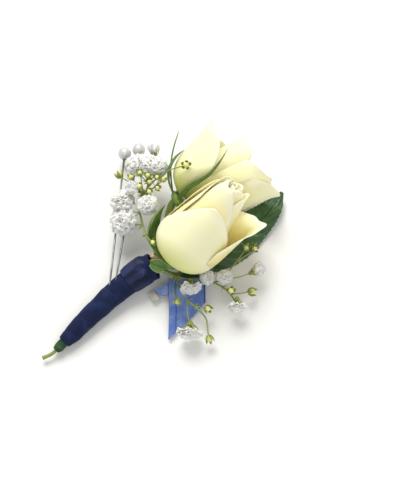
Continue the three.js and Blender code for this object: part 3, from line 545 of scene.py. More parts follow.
@dataclass(frozen=True)
class PetalFinish(Finish):
    """A rose petal: cream, greenish yellow at its root, with painted golden shade deep in the flower's hollow
    where light comes through, finely veined.
    """

    name: str = "rose_petal_cream"
    root: Colour = (0.52, 0.58, 0.10)
    low: Colour = (0.74, 0.77, 0.24)
    body: Colour = (0.96, 0.91, 0.55)
    rim: Colour = (0.97, 0.94, 0.68)
    # painted shade: deep_root, deep and deep_light are the golden shade of the flower's hollow, where light
    # comes through the petals
    deep_root: Colour = (0.62, 0.56, 0.10)
    deep: Colour = (0.95, 0.71, 0.17)
    deep_light: Colour = (0.95, 0.80, 0.32)
    vein: Colour = (0.98, 0.96, 0.80)
    shadow: Colour = (0.90, 0.84, 0.46)
    blush: Colour = (0.86, 0.70, 0.56)
    light_reach: Colour = (1.0, 0.86, 0.42)  # how far each colour of light runs in it
    vein_count: float = 26.0
    vein_breaks: float = 2.2
    vein_shuffle: float = 37.0  # gives each petal veins of its own
    grain: float = 2600.0

    def mix(self) -> bpy.types.Material:
        """Makes the material."""
        r = Recipe(self.name)
        along, across, tone, depth = r.values("along", "across", "tone", "depth")
        outer = ((0.0, self.root), (0.26, self.low), (0.52, self.body), (0.86, self.body), (1.0, self.rim))
        inner = ((0.0, self.deep_root), (0.35, self.deep), (0.75, self.deep_light), (1.0, self.rim))
        # the more painted hollow shade a petal carries, the more the golden painted shade takes the place of
        # its outer colours
        shade = r.blend(depth, r.ramp(along, outer), r.ramp(along, inner))
        own = r.times(tone, self.vein_shuffle)
        fibre = r.vector(r.times(across, self.vein_count), r.times(along, self.vein_breaks), own)
        veins = r.noise(1.0, 4.0, fibre)
        shade = r.blend(r.spread(veins, 0.45, 0.75, most=0.14), shade, self.vein)
        cloud = r.noise(90.0, 2.0)
        shade = r.blend(r.spread(cloud, 0.45, 0.8, most=0.16), shade, self.shadow)
        edge = r.spread(along, 0.965, 1.0, most=0.5)
        shade = r.blend(r.times(edge, r.spread(cloud, 0.5, 0.68)), shade, self.blush)
        r.set(Base_Color=shade, Roughness=0.52, Specular_IOR_Level=0.32)
        r.set(Sheen_Weight=0.10, Sheen_Roughness=0.4)
        r.set(Subsurface_Weight=0.32, Subsurface_Scale=0.0016, Subsurface_Radius=self.light_reach)
        r.bump(r.calc("ADD", veins, r.times(r.noise(self.grain, 2.0), 0.12)), 0.04)
        return r.material


@dataclass(frozen=True)
class GreenFinish(Finish):
    """Living green: a stem, sepal or leaf, with veins and a paler edge."""

    name: str
    dark: Colour
    light: Colour
    edge: Colour
    roughness: float = 0.5
    veins: float = 0.3
    freckles: float = 0.0
    freckle: Colour = (0.62, 0.70, 0.48)
    SIDE_VEINS = 11.0
    SLANT = 2.6  # how far the side veins run on towards the tip

    def _lines(self, r: Recipe, along: Socket, side: Socket) -> Socket:
        """The side veins and the middle one, 0 to 1."""
        slant = r.calc("SUBTRACT", r.times(along, self.SIDE_VEINS), r.times(side, self.SLANT))
        vein = r.times(r.spread(r.off_middle(slant), 0.10, 0.02), self.veins)
        middle = r.times(r.spread(side, 0.07, 0.015), min(1.0, self.veins * 2))
        return r.calc("MAXIMUM", vein, middle)

    def mix(self) -> bpy.types.Material:
        """Makes the material."""
        r = Recipe(self.name)
        along, across, tone = r.values("along", "across", "tone")
        shade = r.blend(r.spread(r.noise(160.0, 4.0), 0.35, 0.68), self.dark, self.light)
        shade = r.blend(r.times(tone, 0.35), shade, self.light)
        side = r.calc("ABSOLUTE", across)
        lines = self._lines(r, along, side)
        shade = r.blend(lines, shade, self.edge)
        pale_edge = 0.55 if self.veins else 0.0
        shade = r.blend(r.spread(side, 0.93, 1.0, most=pale_edge), shade, self.edge)
        if self.freckles:
            freckled = r.spread(r.noise(900.0, 2.0), 0.66, 0.72, most=self.freckles)
            shade = r.blend(freckled, shade, self.freckle)
        r.set(Base_Color=shade, Roughness=self.roughness, Specular_IOR_Level=0.45)
        r.set(Subsurface_Weight=0.06, Subsurface_Scale=0.001)
        r.bump(r.calc("SUBTRACT", r.times(r.noise(1500.0, 3.0), 0.3), lines), 0.12)
        return r.material


@dataclass(frozen=True)
class BudFinish(Finish):
    """Tips and sepals of gypsophila: yellow-green at the foot, paler above."""

    name: str
    low: Colour
    high: Colour
    speckle: Colour = (0.50, 0.52, 0.16)

    def mix(self) -> bpy.types.Material:
        """Makes the material."""
        r = Recipe(self.name)
        along, tone = r.values("along", "tone")
        shade = r.blend(r.spread(along, 0.1, 0.85), self.low, self.high)
        specks = r.noise(1400.0, 2.0)
        shade = r.blend(r.spread(specks, 0.5, 0.75, most=0.35), shade, self.speckle)
        shade = r.blend(r.times(tone, 0.3), shade, self.high)
        r.set(Base_Color=shade, Roughness=0.5, Subsurface_Weight=0.15, Subsurface_Scale=0.0008)
        r.bump(specks, 0.05)
        return r.material


@dataclass(frozen=True)
class FloretFinish(Finish):
    """Thin white florets with a faint green throat."""

    name: str = "gypsophila_white"
    throat: Colour = (0.66, 0.70, 0.42)
    inner: Colour = (0.86, 0.86, 0.72)
    white: Colour = (0.96, 0.95, 0.88)
    rim: Colour = (0.98, 0.98, 0.94)
    line: Colour = (0.80, 0.78, 0.66)
    light_reach: Colour = (1.0, 0.95, 0.8)  # how far each colour of light runs in it
    line_count: float = 6.0
    line_shuffle: float = 31.0  # gives each petal lines of its own

    def mix(self) -> bpy.types.Material:
        """Makes the material."""
        r = Recipe(self.name)
        along, across, tone = r.values("along", "across", "tone")
        shade = r.ramp(along, ((0.0, self.throat), (0.38, self.inner), (0.7, self.white), (1.0, self.rim)))
        fibre = r.vector(r.times(across, self.line_count), along, r.times(tone, self.line_shuffle))
        lines = r.noise(1.6, 2.0, fibre)
        shade = r.blend(r.spread(lines, 0.5, 0.8, most=0.15), shade, self.line)
        r.set(Base_Color=shade, Roughness=0.6, Specular_IOR_Level=0.25)
        r.set(Subsurface_Weight=0.6, Subsurface_Scale=0.0016, Subsurface_Radius=self.light_reach)
        r.bump(lines, 0.06)
        return r.material


@dataclass(frozen=True)
class TapeFinish(Finish):
    """Crepe tape wound round stems: fine cross creases and a lighter ridge along the raised edge of each
    turn.
    """

    name: str
    colour: Colour
    light: Colour
    sheen: Colour = (0.45, 0.55, 0.95)
    relief: float = 0.16
    creases_across: float = 9.0
    creases_along: float = 150.0
    fold_from: float = 0.86  # where the lighter ridge starts on a turn of tape

    def mix(self) -> bpy.types.Material:
        """Makes the material."""
        r = Recipe(self.name)
        along, across, tone, turn = r.values("along", "across", "tone", "depth")
        crepe = r.vector(r.times(across, self.creases_across), r.times(along, self.creases_along), tone)
        crease = r.noise(1.0, 3.0, crepe)
        shade = r.blend(r.spread(r.noise(210.0, 4.0), 0.42, 0.72), self.colour, self.light)
        shade = r.blend(r.spread(crease, 0.5, 0.78, most=0.5), shade, self.light)
        shade = r.blend(r.spread(turn, self.fold_from, 1.0, most=0.55), shade, self.light)
        r.set(Base_Color=shade, Roughness=0.75, Specular_IOR_Level=0.2)
        r.set(Sheen_Weight=0.04, Sheen_Roughness=0.5, Sheen_Tint=self.sheen)
        r.bump(r.calc("ADD", crease, r.times(r.noise(2300.0, 2.0), 0.35)), self.relief)
        return r.material


@dataclass(frozen=True)
class OrganzaFinish(Finish):
    """Sheer woven ribbon: crossed threads with light between them, and closed selvedges."""

    name: str
    thread: Colour
    shine: Colour
    selvedge: Colour
    sheer: float
    width: float = 15.0
    length: float = 27.0
    roughness: float = 0.42
    glow: float = 0.4
    pitch: float = 0.8
    sheen: Colour = (0.6, 0.7, 1.0)

    def _threads(self, r: Recipe, place: Socket, size: float) -> Socket:
        """How near a point lies to the middle of a thread, 0 to 1."""
        return r.spread(r.off_middle(r.times(place, size / self.pitch)), 0.42, 0.16)

    def mix(self) -> bpy.types.Material:
        """Makes the material."""
        r = Recipe(self.name)
        along, across, fold = r.values("along", "across", "depth")
        wobble = r.times(r.noise(300.0, 3.0), 0.05)
        warp = self._threads(r, r.calc("ADD", across, wobble), self.width / 2)
        weft = self._threads(r, r.calc("ADD", along, wobble), self.length)
        woven = r.calc("MAXIMUM", warp, weft)
        edge = r.spread(r.calc("ABSOLUTE", across), 0.90, 0.94)
        closed = r.calc("MAXIMUM", edge, r.spread(fold, 0.4, 0.6))
        cover = r.calc("MULTIPLY_ADD", woven, 1.0 - self.sheer, self.sheer * 0.55)
        shade = r.blend(r.spread(r.noise(160.0, 3.0), 0.4, 0.7), self.thread, self.shine)
        shade = r.blend(r.times(woven, 0.4), shade, self.thread)
        shade = r.blend(closed, shade, self.selvedge)
        r.set(Base_Color=shade, Alpha=r.calc("MAXIMUM", cover, closed), Roughness=self.roughness)
        r.set(Specular_IOR_Level=0.4, Sheen_Weight=self.glow, Sheen_Roughness=0.35, Sheen_Tint=self.sheen)
        r.bump(woven, 0.08)
        return r.material


@dataclass(frozen=True)
class SteelFinish(Finish):
    """Drawn steel pin: grey, with fine lengthwise scratches."""

    name: str = "pin_steel"
    colour: Colour = (0.20, 0.20, 0.21)
    worn: Colour = (0.34, 0.34, 0.35)
    scratches_across: float = 30.0
    scratches_along: float = 3.0

    def mix(self) -> bpy.types.Material:
        """Makes the material."""
        r = Recipe(self.name)
        along, across = r.values("along", "across")
        drawn = r.vector(r.times(across, self.scratches_across), r.times(along, self.scratches_along), 0.0)
        scratch = r.noise(1.0, 3.0, drawn)
        shade = r.blend(r.spread(r.noise(120.0, 2.0), 0.4, 0.7), self.colour, self.worn)
        r.set(Base_Color=shade, Metallic=0.9, Roughness=r.spread(scratch, 0.3, 0.8, least=0.26, most=0.46))
        r.bump(scratch, 0.01)
        return r.material


@dataclass(frozen=True)
class PearlFinish(Finish):
    """An imitation pearl: grey white under a clear coat, with a soft change of colour and painted shade that
    darkens it towards its outline.
    """

    name: str = "pearl_grey_white"
    cool: Colour = (0.72, 0.72, 0.74)
    warm: Colour = (0.82, 0.81, 0.80)
    # painted shade: the darker grey that the pearl takes towards its outline as seen
    side: Colour = (0.46, 0.46, 0.48)
    outline_shade_share: float = 0.45

    def mix(self) -> bpy.types.Material:
        """Makes the material."""
        r = Recipe(self.name)
        facing = r.tree.nodes.new("ShaderNodeLayerWeight")
        facing.inputs["Blend"].default_value = self.outline_shade_share
        cloud = r.noise(260.0, 3.0)
        white = r.blend(r.spread(cloud, 0.4, 0.7), self.cool, self.warm)
        # painted shade towards the outline, by how far the surface turns away from the view
        shade = r.blend(facing.outputs["Facing"], white, self.side)
        r.set(Base_Color=shade, Roughness=0.24, Metallic=0.25, Coat_Weight=0.8, Coat_Roughness=0.08)
        r.set(Subsurface_Weight=0.1, Subsurface_Scale=0.001, Specular_IOR_Level=0.6)
        r.bump(cloud, 0.01)
        return r.material


@dataclass(frozen=True)
class ClearTapeFinish(Finish):
    """A scrap of cloudy clear tape."""

    name: str = "clear_tape"
    dull: Colour = (0.46, 0.44, 0.38)
    bright: Colour = (0.66, 0.64, 0.57)

    def mix(self) -> bpy.types.Material:
        """Makes the material."""
        r = Recipe(self.name)
        cloud = r.noise(420.0, 3.0)
        shade = r.blend(r.spread(cloud, 0.35, 0.7), self.dull, self.bright)
        r.set(Base_Color=shade, Roughness=0.3, Alpha=0.82, Specular_IOR_Level=0.5)
        r.bump(cloud, 0.06)
        return r.material


@dataclass(frozen=True)
class FloorFinish(Finish):
    """A plain pale surface."""

    name: str = "plain_pale_floor"
    shaded: Colour = (0.82, 0.815, 0.80)
    plain: Colour = (0.835, 0.83, 0.815)

    def mix(self) -> bpy.types.Material:
        """Makes the material."""
        r = Recipe(self.name)
        shade = r.blend(r.spread(r.noise(6.0, 2.0), 0.3, 0.7), self.shaded, self.plain)
        r.set(Base_Color=shade, Roughness=0.55, Specular_IOR_Level=0.3)
        return r.material


class Look(Enum):
    """The finishes that the pieces share; each gives its colours first."""

    PETAL = PetalFinish()
    SEPAL = GreenFinish(
        "sepal_green", (0.045, 0.115, 0.018), (0.13, 0.24, 0.04), (0.26, 0.36, 0.09), veins=0.25
    )
    CALYX = GreenFinish("calyx_green", (0.10, 0.20, 0.03), (0.22, 0.34, 0.06), (0.34, 0.44, 0.12), veins=0.15)
    STEM = GreenFinish(
        "rose_stem_green", (0.14, 0.20, 0.04), (0.24, 0.32, 0.07), (0.3, 0.3, 0.1), roughness=0.55, veins=0.0
    )
    LEAF = GreenFinish(
        "rose_leaf_green", (0.016, 0.058, 0.014), (0.040, 0.110, 0.026), (0.12, 0.20, 0.07),
        roughness=0.40, veins=0.42, freckles=0.3,
    )
    SMALL_LEAF = GreenFinish(
        "small_leaf_green", (0.05, 0.12, 0.02), (0.10, 0.20, 0.04), (0.36, 0.44, 0.18), roughness=0.42
    )
    TWIG = GreenFinish(
        "gypsophila_stem", (0.17, 0.23, 0.05), (0.34, 0.38, 0.12), (0.4, 0.4, 0.2), roughness=0.55, veins=0.0
    )
    BRACT = BudFinish("gypsophila_bract", (0.13, 0.18, 0.03), (0.34, 0.38, 0.08))
    BUD = BudFinish("gypsophila_bud", (0.42, 0.48, 0.09), (0.72, 0.74, 0.30))
    FLORET = FloretFinish()
    CUT = BudFinish("cut_stem_end", (0.20, 0.06, 0.03), (0.62, 0.42, 0.26))
    NAVY = TapeFinish("navy_tape", (0.004, 0.009, 0.042), (0.011, 0.021, 0.080))
    GREEN_TAPE = TapeFinish("green_floral_tape", (0.018, 0.050, 0.022), (0.050, 0.105, 0.045))
    TAIL = OrganzaFinish(
        "royal_organza", (0.13, 0.24, 0.66), (0.46, 0.60, 0.94), (0.02, 0.04, 0.28), sheer=0.62
    )
    BAND = OrganzaFinish(
        "navy_organza", (0.006, 0.012, 0.055), (0.022, 0.04, 0.15), (0.005, 0.010, 0.05),
        sheer=0.2, width=12.0, length=44.0, roughness=0.62, glow=0.06,
    )
    STEEL = SteelFinish()
    PEARL = PearlFinish()
    CLEAR = ClearTapeFinish()
    FLOOR = FloorFinish()


def finish_piece(skin: Skin, looks: Sequence[Look], stands_for: Sequence[str]) -> bpy.types.Object:
    """Builds a gathered piece and ties it to the frame.

    Args:
        skin: The gathered patches.
        looks: Its finishes.
        stands_for: The nodes that it replaces.

    Returns:
        The piece.
    """
    made = skin.build([look.value for look in looks])
    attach(made, "root")
    if stands_for:
        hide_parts(*stands_for)
    log.info("%s: %d faces", made.name, len(made.data.polygons))
    return made


# ---------------------------------------------------------------- roses


@dataclass(frozen=True)
class Petal:
    """One petal: angles in degrees, lengths in millimetres."""

    azimuth: float
    length: float = 38.0
    spread: float = 80.0  # half the angle that it wraps round the bud
    start: float = 14.0  # slope at the root, from level
    end: float = 97.0  # slope near the rim: over 90 leans inwards
    cup: float = 0.48  # part of the length over which the slope changes
    roll: float = 30.0  # how far the rim turns outwards
    roll_from: float = 0.85
    roll_middle: float = 0.5
    spiral: float = 0.6
    corner: float = 0.3  # share of the length by which the rim drops at its left corner
    corner_right: float | None = None  # the same at the right, where it differs
    corner_right: float | None = None  # the same at the right, where it differs
    power: float = 2.6  # how suddenly it drops: 1 is evenly from the middle
    power_right: float | None = None
    tip: float = 0.0  # share of the length by which the middle of the rim is drawn out
    lean: float = 0.0  # how far the whole petal leans outwards
    root_radius: float = 2.2
    layer: float = 0.0  # how many layers out from the bud it starts
    warmth: float = 0.0  # how much painted golden shade of the flower's hollow it carries
    uneven: float = 0.28
    seed: int = 0
    LAYER_STEP = 0.9
    TIP_WIDTH = 0.16  # share of the half width that the drawn-out tip takes
    ROLL_END = 1.02  # share of the length at which the rim would be fully rolled
    ROLL_MIDDLE_POWER = 1.5
    ROLL_POWER = 1.3
    SPIRAL_FROM = 0.15
    UNEVEN_FROM = 0.6
    UNEVEN_STRETCH = 1.5

    @staticmethod
    def _sided(u: Array, left: float, right: float | None) -> Array:
        """One value at the left and, where there is one, another at the right."""
        return np.where(u > 0, left if right is None else right, left)

    def _reach(self, u: Array) -> Array:
        """The share of the length that the petal has across its width."""
        corner = self._sided(u, self.corner, self.corner_right)
        power = self._sided(u, self.power, self.power_right)
        return 1 - corner * np.abs(u) ** power + self.tip * np.exp(-((u / self.TIP_WIDTH) ** 2))

    def _slope(self, u: Array, s: Array) -> Array:
        """The slope from level, in radians: up round the bud, then out at the rim."""
        rising = np.radians(mixed(self.start, self.end, ease(s / self.cup)))
        share = 1 - self.roll_middle * (1 - np.abs(u) ** self.ROLL_MIDDLE_POWER)
        rolled = ease((s - self.roll_from) / (self.ROLL_END - self.roll_from)) ** self.ROLL_POWER
        return rising - math.radians(self.roll) * share * rolled

    def surface(self, across: int, along: int, width_at: Array | None = None) -> Array:
        """The petal's middle surface in the flower's frame.

        Args:
            across: Points from one edge to the other.
            along: Points from root to rim.
            width_at: Half widths in degrees along the petal, in place of spread.

        Returns:
            A grid of points.
        """
        u, v = blade_grid(across, along)
        s = v * self._reach(u)
        slope = self._slope(u, s)
        steps = np.diff(s, axis=1) * self.length
        middle = (slope[:, 1:] + slope[:, :-1]) / 2
        start = np.zeros((across, 1))
        out = np.concatenate([start, np.cumsum(np.cos(middle) * steps, axis=1)], 1)
        height = np.concatenate([start, np.cumsum(np.sin(middle) * steps, axis=1)], 1)
        height = height - self.LAYER_STEP * self.layer
        foot = self.root_radius + self.LAYER_STEP * self.layer
        radius = out + foot + self.spiral * u * ease(s / self.SPIRAL_FROM)
        wave = waviness(u, s * self.UNEVEN_STRETCH, self.seed)
        radius = radius + self.uneven * wave * ease(s / self.UNEVEN_FROM) ** 2
        turn = np.radians(u * (self.spread if width_at is None else width_at[None, :]))
        out, cross = radius * np.cos(turn) - foot, radius * np.sin(turn)
        lean = math.radians(self.lean)
        leaned = foot + out * math.cos(lean) + height * math.sin(lean)
        up = height * math.cos(lean) - out * math.sin(lean)
        return spun(joined(leaned, cross, up), math.radians(self.azimuth))


@dataclass(frozen=True)
class Sepal:
    """One narrow sepal: angles in degrees, lengths in millimetres."""

    azimuth: float
    length: float
    half_width: float
    curl: float = 0.0  # how far its tip bends out
    lean: float = 0.0
    start: float = 14.0
    end: float = 97.0
    swing: float = 0.0  # how far round the flower its tip bends


@dataclass(frozen=True)
class Press:
    """A flat place that a flower is pressed against: points near it slide back and never cross it."""

    point: Array
    normal: Array
    soft: float  # how far from it the sliding starts
    give: float  # what lies past that is squeezed into this thickness
    STEP = 0.8  # how much sooner each layer inwards stops

    def apply(self, grid: Array, depth: float) -> Array:
        """The pressed points; inner petals stop further back, so the layers stay in order."""
        soft = self.soft + depth * self.STEP
        distance = (grid - self.point) @ self.normal
        kept = soft - self.give * (1 - np.exp(np.minimum(distance - soft, 0) / self.give))
        moved = np.where(distance < soft, kept - distance, 0.0)
        return grid + moved[..., None] * self.normal


@dataclass
class Rose:
    """A half open rose: petals, hip, sepals and stem."""

    name: str
    base: Array
    axis: Array
    outer: tuple[Petal, ...]
    inner: tuple[Petal, ...]
    sepals: tuple[Sepal, ...]
    stem: Callable[["Rose", "Bundle"], list[Array]]
    stub: tuple[Array, ...] = ()
    presses: list[Press] = field(default_factory=list)
    hip_radius: float = 4.2
    hip_length: float = 5.0
    stem_radius: float = 1.5
    thickness: float = 0.42
    CENTRE = 19.5
    OUTER_GRID = (49, 61)  # points across and along a petal
    INNER_GRID = (41, 49)
    OUTER_DEPTH = 2  # how far in the outer petals count as lying where the rose is pressed, in layers
    INNER_COUNT = 3  # inner petals to a layer
    SEPAL_LAYER = 3.4
    SEPAL_CLEAR = 5.0  # how much later than the petals a sepal turns up
    SEPAL_GRID = (9, 41)
    SEPAL_THICKNESS = 0.5
    BROAD_SEPAL = 2.6  # half the width of a broad sepal
    KEEL = 0.35  # how far the middle of a broad sepal stands up
    HIP_RIBS = 5
    STEM_ROWS = 90

    def __post_init__(self) -> None:
        """Sets up the flower's own frame: +Z along its axis, +X the side that faces out."""
        z = unit(self.axis)
        x = unit(FACING - (FACING @ z) * z)
        self.turn = np.stack([x, np.cross(z, x), z])
        self.axis = z

    def centre(self) -> Array:
        """The middle of the flower."""
        return self.base + self.axis * self.CENTRE

    def along_axis(self, height: float) -> Array:
        """A point on the flower's axis."""
        return self.base + self.axis * height

    def place(self, local: Array, depth: float) -> Array:
        """Moves points from the flower's frame to the maker's, pressed where it is pressed."""
        grid = local @ self.turn + self.base
        for press in self.presses:
            grid = press.apply(grid, depth)
        return grid

    def build_bloom(self) -> bpy.types.Object:
        """Builds the petals, as one piece."""
        skin = Skin(f"{self.name}_bloom")
        for k, petal in enumerate(self.outer):
            grid = self.place(petal.surface(*self.OUTER_GRID), self.OUTER_DEPTH - petal.layer)
            skin.add(thin(grid, self.thickness), tone=own_tone(k), depth=petal.warmth)
        for k, petal in enumerate(self.inner):
            grid = self.place(petal.surface(*self.INNER_GRID), self.OUTER_DEPTH + 1 + k // self.INNER_COUNT)
            skin.add(thin(grid, self.thickness), tone=own_tone(k, 0.61), depth=petal.warmth)
        return finish_piece(skin, [Look.PETAL], [f"{self.name}_petals"])

    def _sepal(self, sepal: Sepal) -> Array:
        """The middle surface of a narrow pointed sepal that lies under the petals."""
        shape = Petal(
            sepal.azimuth, length=sepal.length, start=sepal.start, end=sepal.end, lean=sepal.lean,
            cup=(Petal.cup * Petal.length + self.SEPAL_CLEAR) / sepal.length, layer=self.SEPAL_LAYER,
            root_radius=0.3, roll=sepal.curl, roll_from=0.55, roll_middle=0.0, spiral=0.0, corner=0.0,
            uneven=0.0,
        )
        across, along = self.SEPAL_GRID
        u, t = blade_grid(across, along)
        width = 0.04 + 0.96 * np.sin(np.pi * (0.18 + 0.82 * t[0])) ** 1.1
        teeth = 1 + 0.10 * np.maximum(0, np.sin(t[0] * 17)) * (t[0] < 0.75)
        radius_there = 4.5 + 9 * ease(t[0] * 2)
        flat = shape.surface(across, along, np.degrees(sepal.half_width * width * teeth / radius_there))
        grid = self.place(spun(flat, np.radians(sepal.swing * t**2)), self.OUTER_DEPTH - shape.layer)
        normals = unit(np.cross(np.gradient(grid, axis=0), np.gradient(grid, axis=1)))
        keel = self.KEEL * sepal.half_width / self.BROAD_SEPAL * (1 - np.abs(u)) * np.sin(np.pi * t)
        return grid + normals * keel[..., None]

    def _hip(self) -> Patch:
        """The ribbed green hip under the petals."""
        r, h = self.hip_radius, self.hip_length
        foot = [(0, -h - 0.4), (self.stem_radius * 0.95, -h), (r * 0.8, -h * 0.78)]
        top = [(r, -h * 0.5), (r * 0.7, -1.6), (0, -1.3)]
        hip = lathe(foot + top, 30, 16, self.HIP_RIBS, 0.05)
        hip.points = hip.points @ self.turn + self.base
        return hip

    def build_green(self, bundle: "Bundle") -> bpy.types.Object:
        """Builds the hip, sepals and stem, as one piece."""
        skin = Skin(f"{self.name}_calyx")
        skin.add(self._hip(), finish=1, tone=0.4)
        for k, sepal in enumerate(self.sepals):
            skin.add(thin(self._sepal(sepal), self.SEPAL_THICKNESS), tone=own_tone(k, 0.43))
        radius = self.stem_radius
        stem = stalk(self.stem(self, bundle), radius, radius * 0.8, self.STEM_ROWS, 18)
        skin.add(stem, finish=2, tone=0.4)
        if self.stub:
            stub = stalk([self.along_axis(-2.5), *self.stub], 1.0, 0.85, 16, 14)
            skin.add(stub, finish=3)
        looks = [Look.SEPAL, Look.CALYX, Look.STEM, Look.CUT]
        return finish_piece(skin, looks, [f"{self.name}_green"])


def ring(count: int, first: float, seed: int, **shape: float) -> tuple[Petal, ...]:
    """Petals evenly spaced round the bud."""
    return tuple(Petal(azimuth=first + 360 * k / count, seed=seed + k, **shape) for k in range(count))


def rose_stem(rose: Rose, bundle: "Bundle", outside: Sequence[Array], inside: Sequence[Place]) -> list[Array]:
    """A rose's stem.

    Args:
        rose: The rose.
        bundle: The bound stems that it runs into.
        outside: Points between its hip and the bundle.
        inside: Places in the bundle: along it, right and up.

    Returns:
        The points of its middle line, from the hip down.
    """
    hip = [rose.along_axis(-rose.hip_length + 1), rose.along_axis(-rose.hip_length - 0.5)]
    return [*hip, *outside, *(bundle.inside(*place) for place in inside)]


def front_stem(rose: Rose, bundle: "Bundle") -> list[Array]:
    """The front rose's stem, straight down into the bundle."""
    inside = ((0.85, 1.8, -0.7), (0.6, 1.6, -0.6), (0.3, 1.2, -0.6))
    return rose_stem(rose, bundle, [vec(3.2, -3.6, 7.5)], inside)


def back_stem(rose: Rose, bundle: "Bundle") -> list[Array]:
    """The back rose's stem, round the front flower and down into the bundle."""
    outside = [vec(-10.4, 14, 6.2), vec(-5.4, 7.4, 4.8), vec(-2.2, 1.4, 6.4), vec(-0.4, -1.4, 7.6)]
    inside = ((0.85, -1.7, -0.7), (0.6, -1.6, -0.6), (0.42, -1.4, -0.4))
    return rose_stem(rose, bundle, [*outside, vec(-0.9, -4.6, 7.2)], inside)


def make_front_rose() -> Rose:
    """The larger rose, in front and lower down."""
    return Rose(
        "rose_front",
        vec(5.6, 4.4, 11.7),
        vec(0.118, 0.789, 0.603),
        outer=(
            Petal(
                -1, length=38.5, spread=108, end=99, cup=0.52, corner=0.8, power=1.3, corner_right=0.52,
                power_right=1.8, layer=1, seed=1, uneven=0.2,
            ),
            Petal(
                -62, length=45.5, spread=50, end=104, cup=0.42, roll=4, corner=0.02, corner_right=0.3, seed=2
            ),
            Petal(
                94, length=24, spread=48, end=96, cup=0.7, roll=30, roll_from=0.8, corner=0.5, power=2,
                layer=0.3, seed=3, warmth=0.85,
            ),
            Petal(
                112, length=38, spread=62, end=89, cup=0.54, roll=60, roll_from=0.8, corner=0.36,
                corner_right=0.14, tip=0.08, lean=4, seed=4, warmth=0.8,
            ),
            Petal(200, length=42.5, spread=72, end=99, cup=0.45, roll=4, seed=5),
            Petal(122, length=26, spread=50, end=100, cup=0.76, corner=0.5, layer=1, seed=6),
        ),
        inner=(
            *ring(
                3, -20, 10, length=44.4, start=24, end=101, cup=0.45, roll=12, roll_from=0.86, spiral=0.8,
                corner=0.26, root_radius=2.0, warmth=0.55,
            ),
            *ring(
                3, 40, 14, length=43.4, spread=92, start=36, end=101, cup=0.42, roll=12, roll_from=0.86,
                spiral=1.1, corner=0.24, root_radius=1.8, warmth=0.75,
            ),
            *ring(
                3, 90, 18, length=41.5, spread=110, start=48, end=99, cup=0.38, roll=12, roll_from=0.88,
                spiral=1.3, corner=0.2, root_radius=1.5, warmth=0.9,
            ),
            *ring(
                2, 30, 22, length=40.5, spread=150, start=66, end=97, cup=0.3, roll=8, roll_from=0.9,
                spiral=1.4, corner=0.15, root_radius=1.2, warmth=1.0,
            ),
        ),
        sepals=(
            Sepal(-106, 23, 3.4, lean=8),
            Sepal(-80, 21, 3.0, lean=6),
            Sepal(110, 16, 1.8),
            Sepal(180, 18, 2),
        ),
        stem=front_stem,
        stub=(vec(0.9, -1.4, 13.4), vec(0, -2, 14.8)),
    )


def make_back_rose() -> Rose:
    """The smaller rose, further up and behind, which touches the surface."""
    return Rose(
        "rose_back",
        vec(-11.6, 24.6, 10),
        vec(0.25, 0.949, 0.19),
        outer=(
            Petal(
                -65, length=33.9, spread=66, start=10, end=73, cup=0.5, roll=10, corner=0.5, power_right=4,
                tip=0.04, layer=1, seed=31,
            ),
            Petal(
                -26, length=38.2, spread=68, cup=0.42, roll=40, corner=0.05, corner_right=0.3,
                power_right=2.2, seed=32,
            ),
            Petal(42, length=40, spread=52, end=92, roll=45, corner=0.12, tip=0.04, lean=10, seed=33),
            Petal(66, length=42, spread=52, end=92, roll=45, corner=0.2, lean=13, seed=34, warmth=0.1),
            Petal(160, length=34, spread=60, cup=0.6, roll=40, seed=35),
            Petal(-120, length=30, spread=70, cup=0.64, roll=40, seed=36),
        ),
        inner=(
            *ring(
                3, -40, 40, length=32.5, start=26, end=99, cup=0.44, roll=40, roll_from=0.84, spiral=0.9,
                corner=0.28, root_radius=2.0, warmth=0.3,
            ),
            *ring(
                3, 20, 44, length=31.5, spread=95, start=36, end=100, cup=0.42, roll=30, roll_from=0.86,
                spiral=1.1, corner=0.22, root_radius=1.6, warmth=0.5,
            ),
            *ring(
                2, 90, 48, length=30.5, spread=130, start=58, end=99, cup=0.32, roll=15, roll_from=0.9,
                spiral=1.4, corner=0.15, root_radius=1.2, warmth=0.7,
            ),
        ),
        sepals=(
            Sepal(-84, 25, 1.0, start=24, end=50),
            Sepal(8, 38, 0.9, curl=20, lean=12, swing=-22),
            Sepal(-74, 20, 3.4, lean=2),
            Sepal(110, 16, 1.8),
            Sepal(-160, 18, 2),
        ),
        stem=back_stem,
    )


def make_roses() -> tuple[Rose, Rose]:
    """The two roses, pressed against each other, the back one also against the surface."""
    front, back = make_front_rose(), make_back_rose()
    between = unit(back.centre() - front.centre())
    meeting = (front.centre() + back.centre()) / 2
    front.presses = [Press(meeting, -between, soft=2.2, give=1.6)]
    back.presses = [Press(meeting, between, soft=2.2, give=1.6), Press(vec(0, 0, 0), UP, soft=-0.4, give=0.9)]
    return front, back


# ---------------------------------------------------------------- the bound stems


RadiusAt = Callable[[Array, Array], Array]  # a radius, from the share along the line and the angle


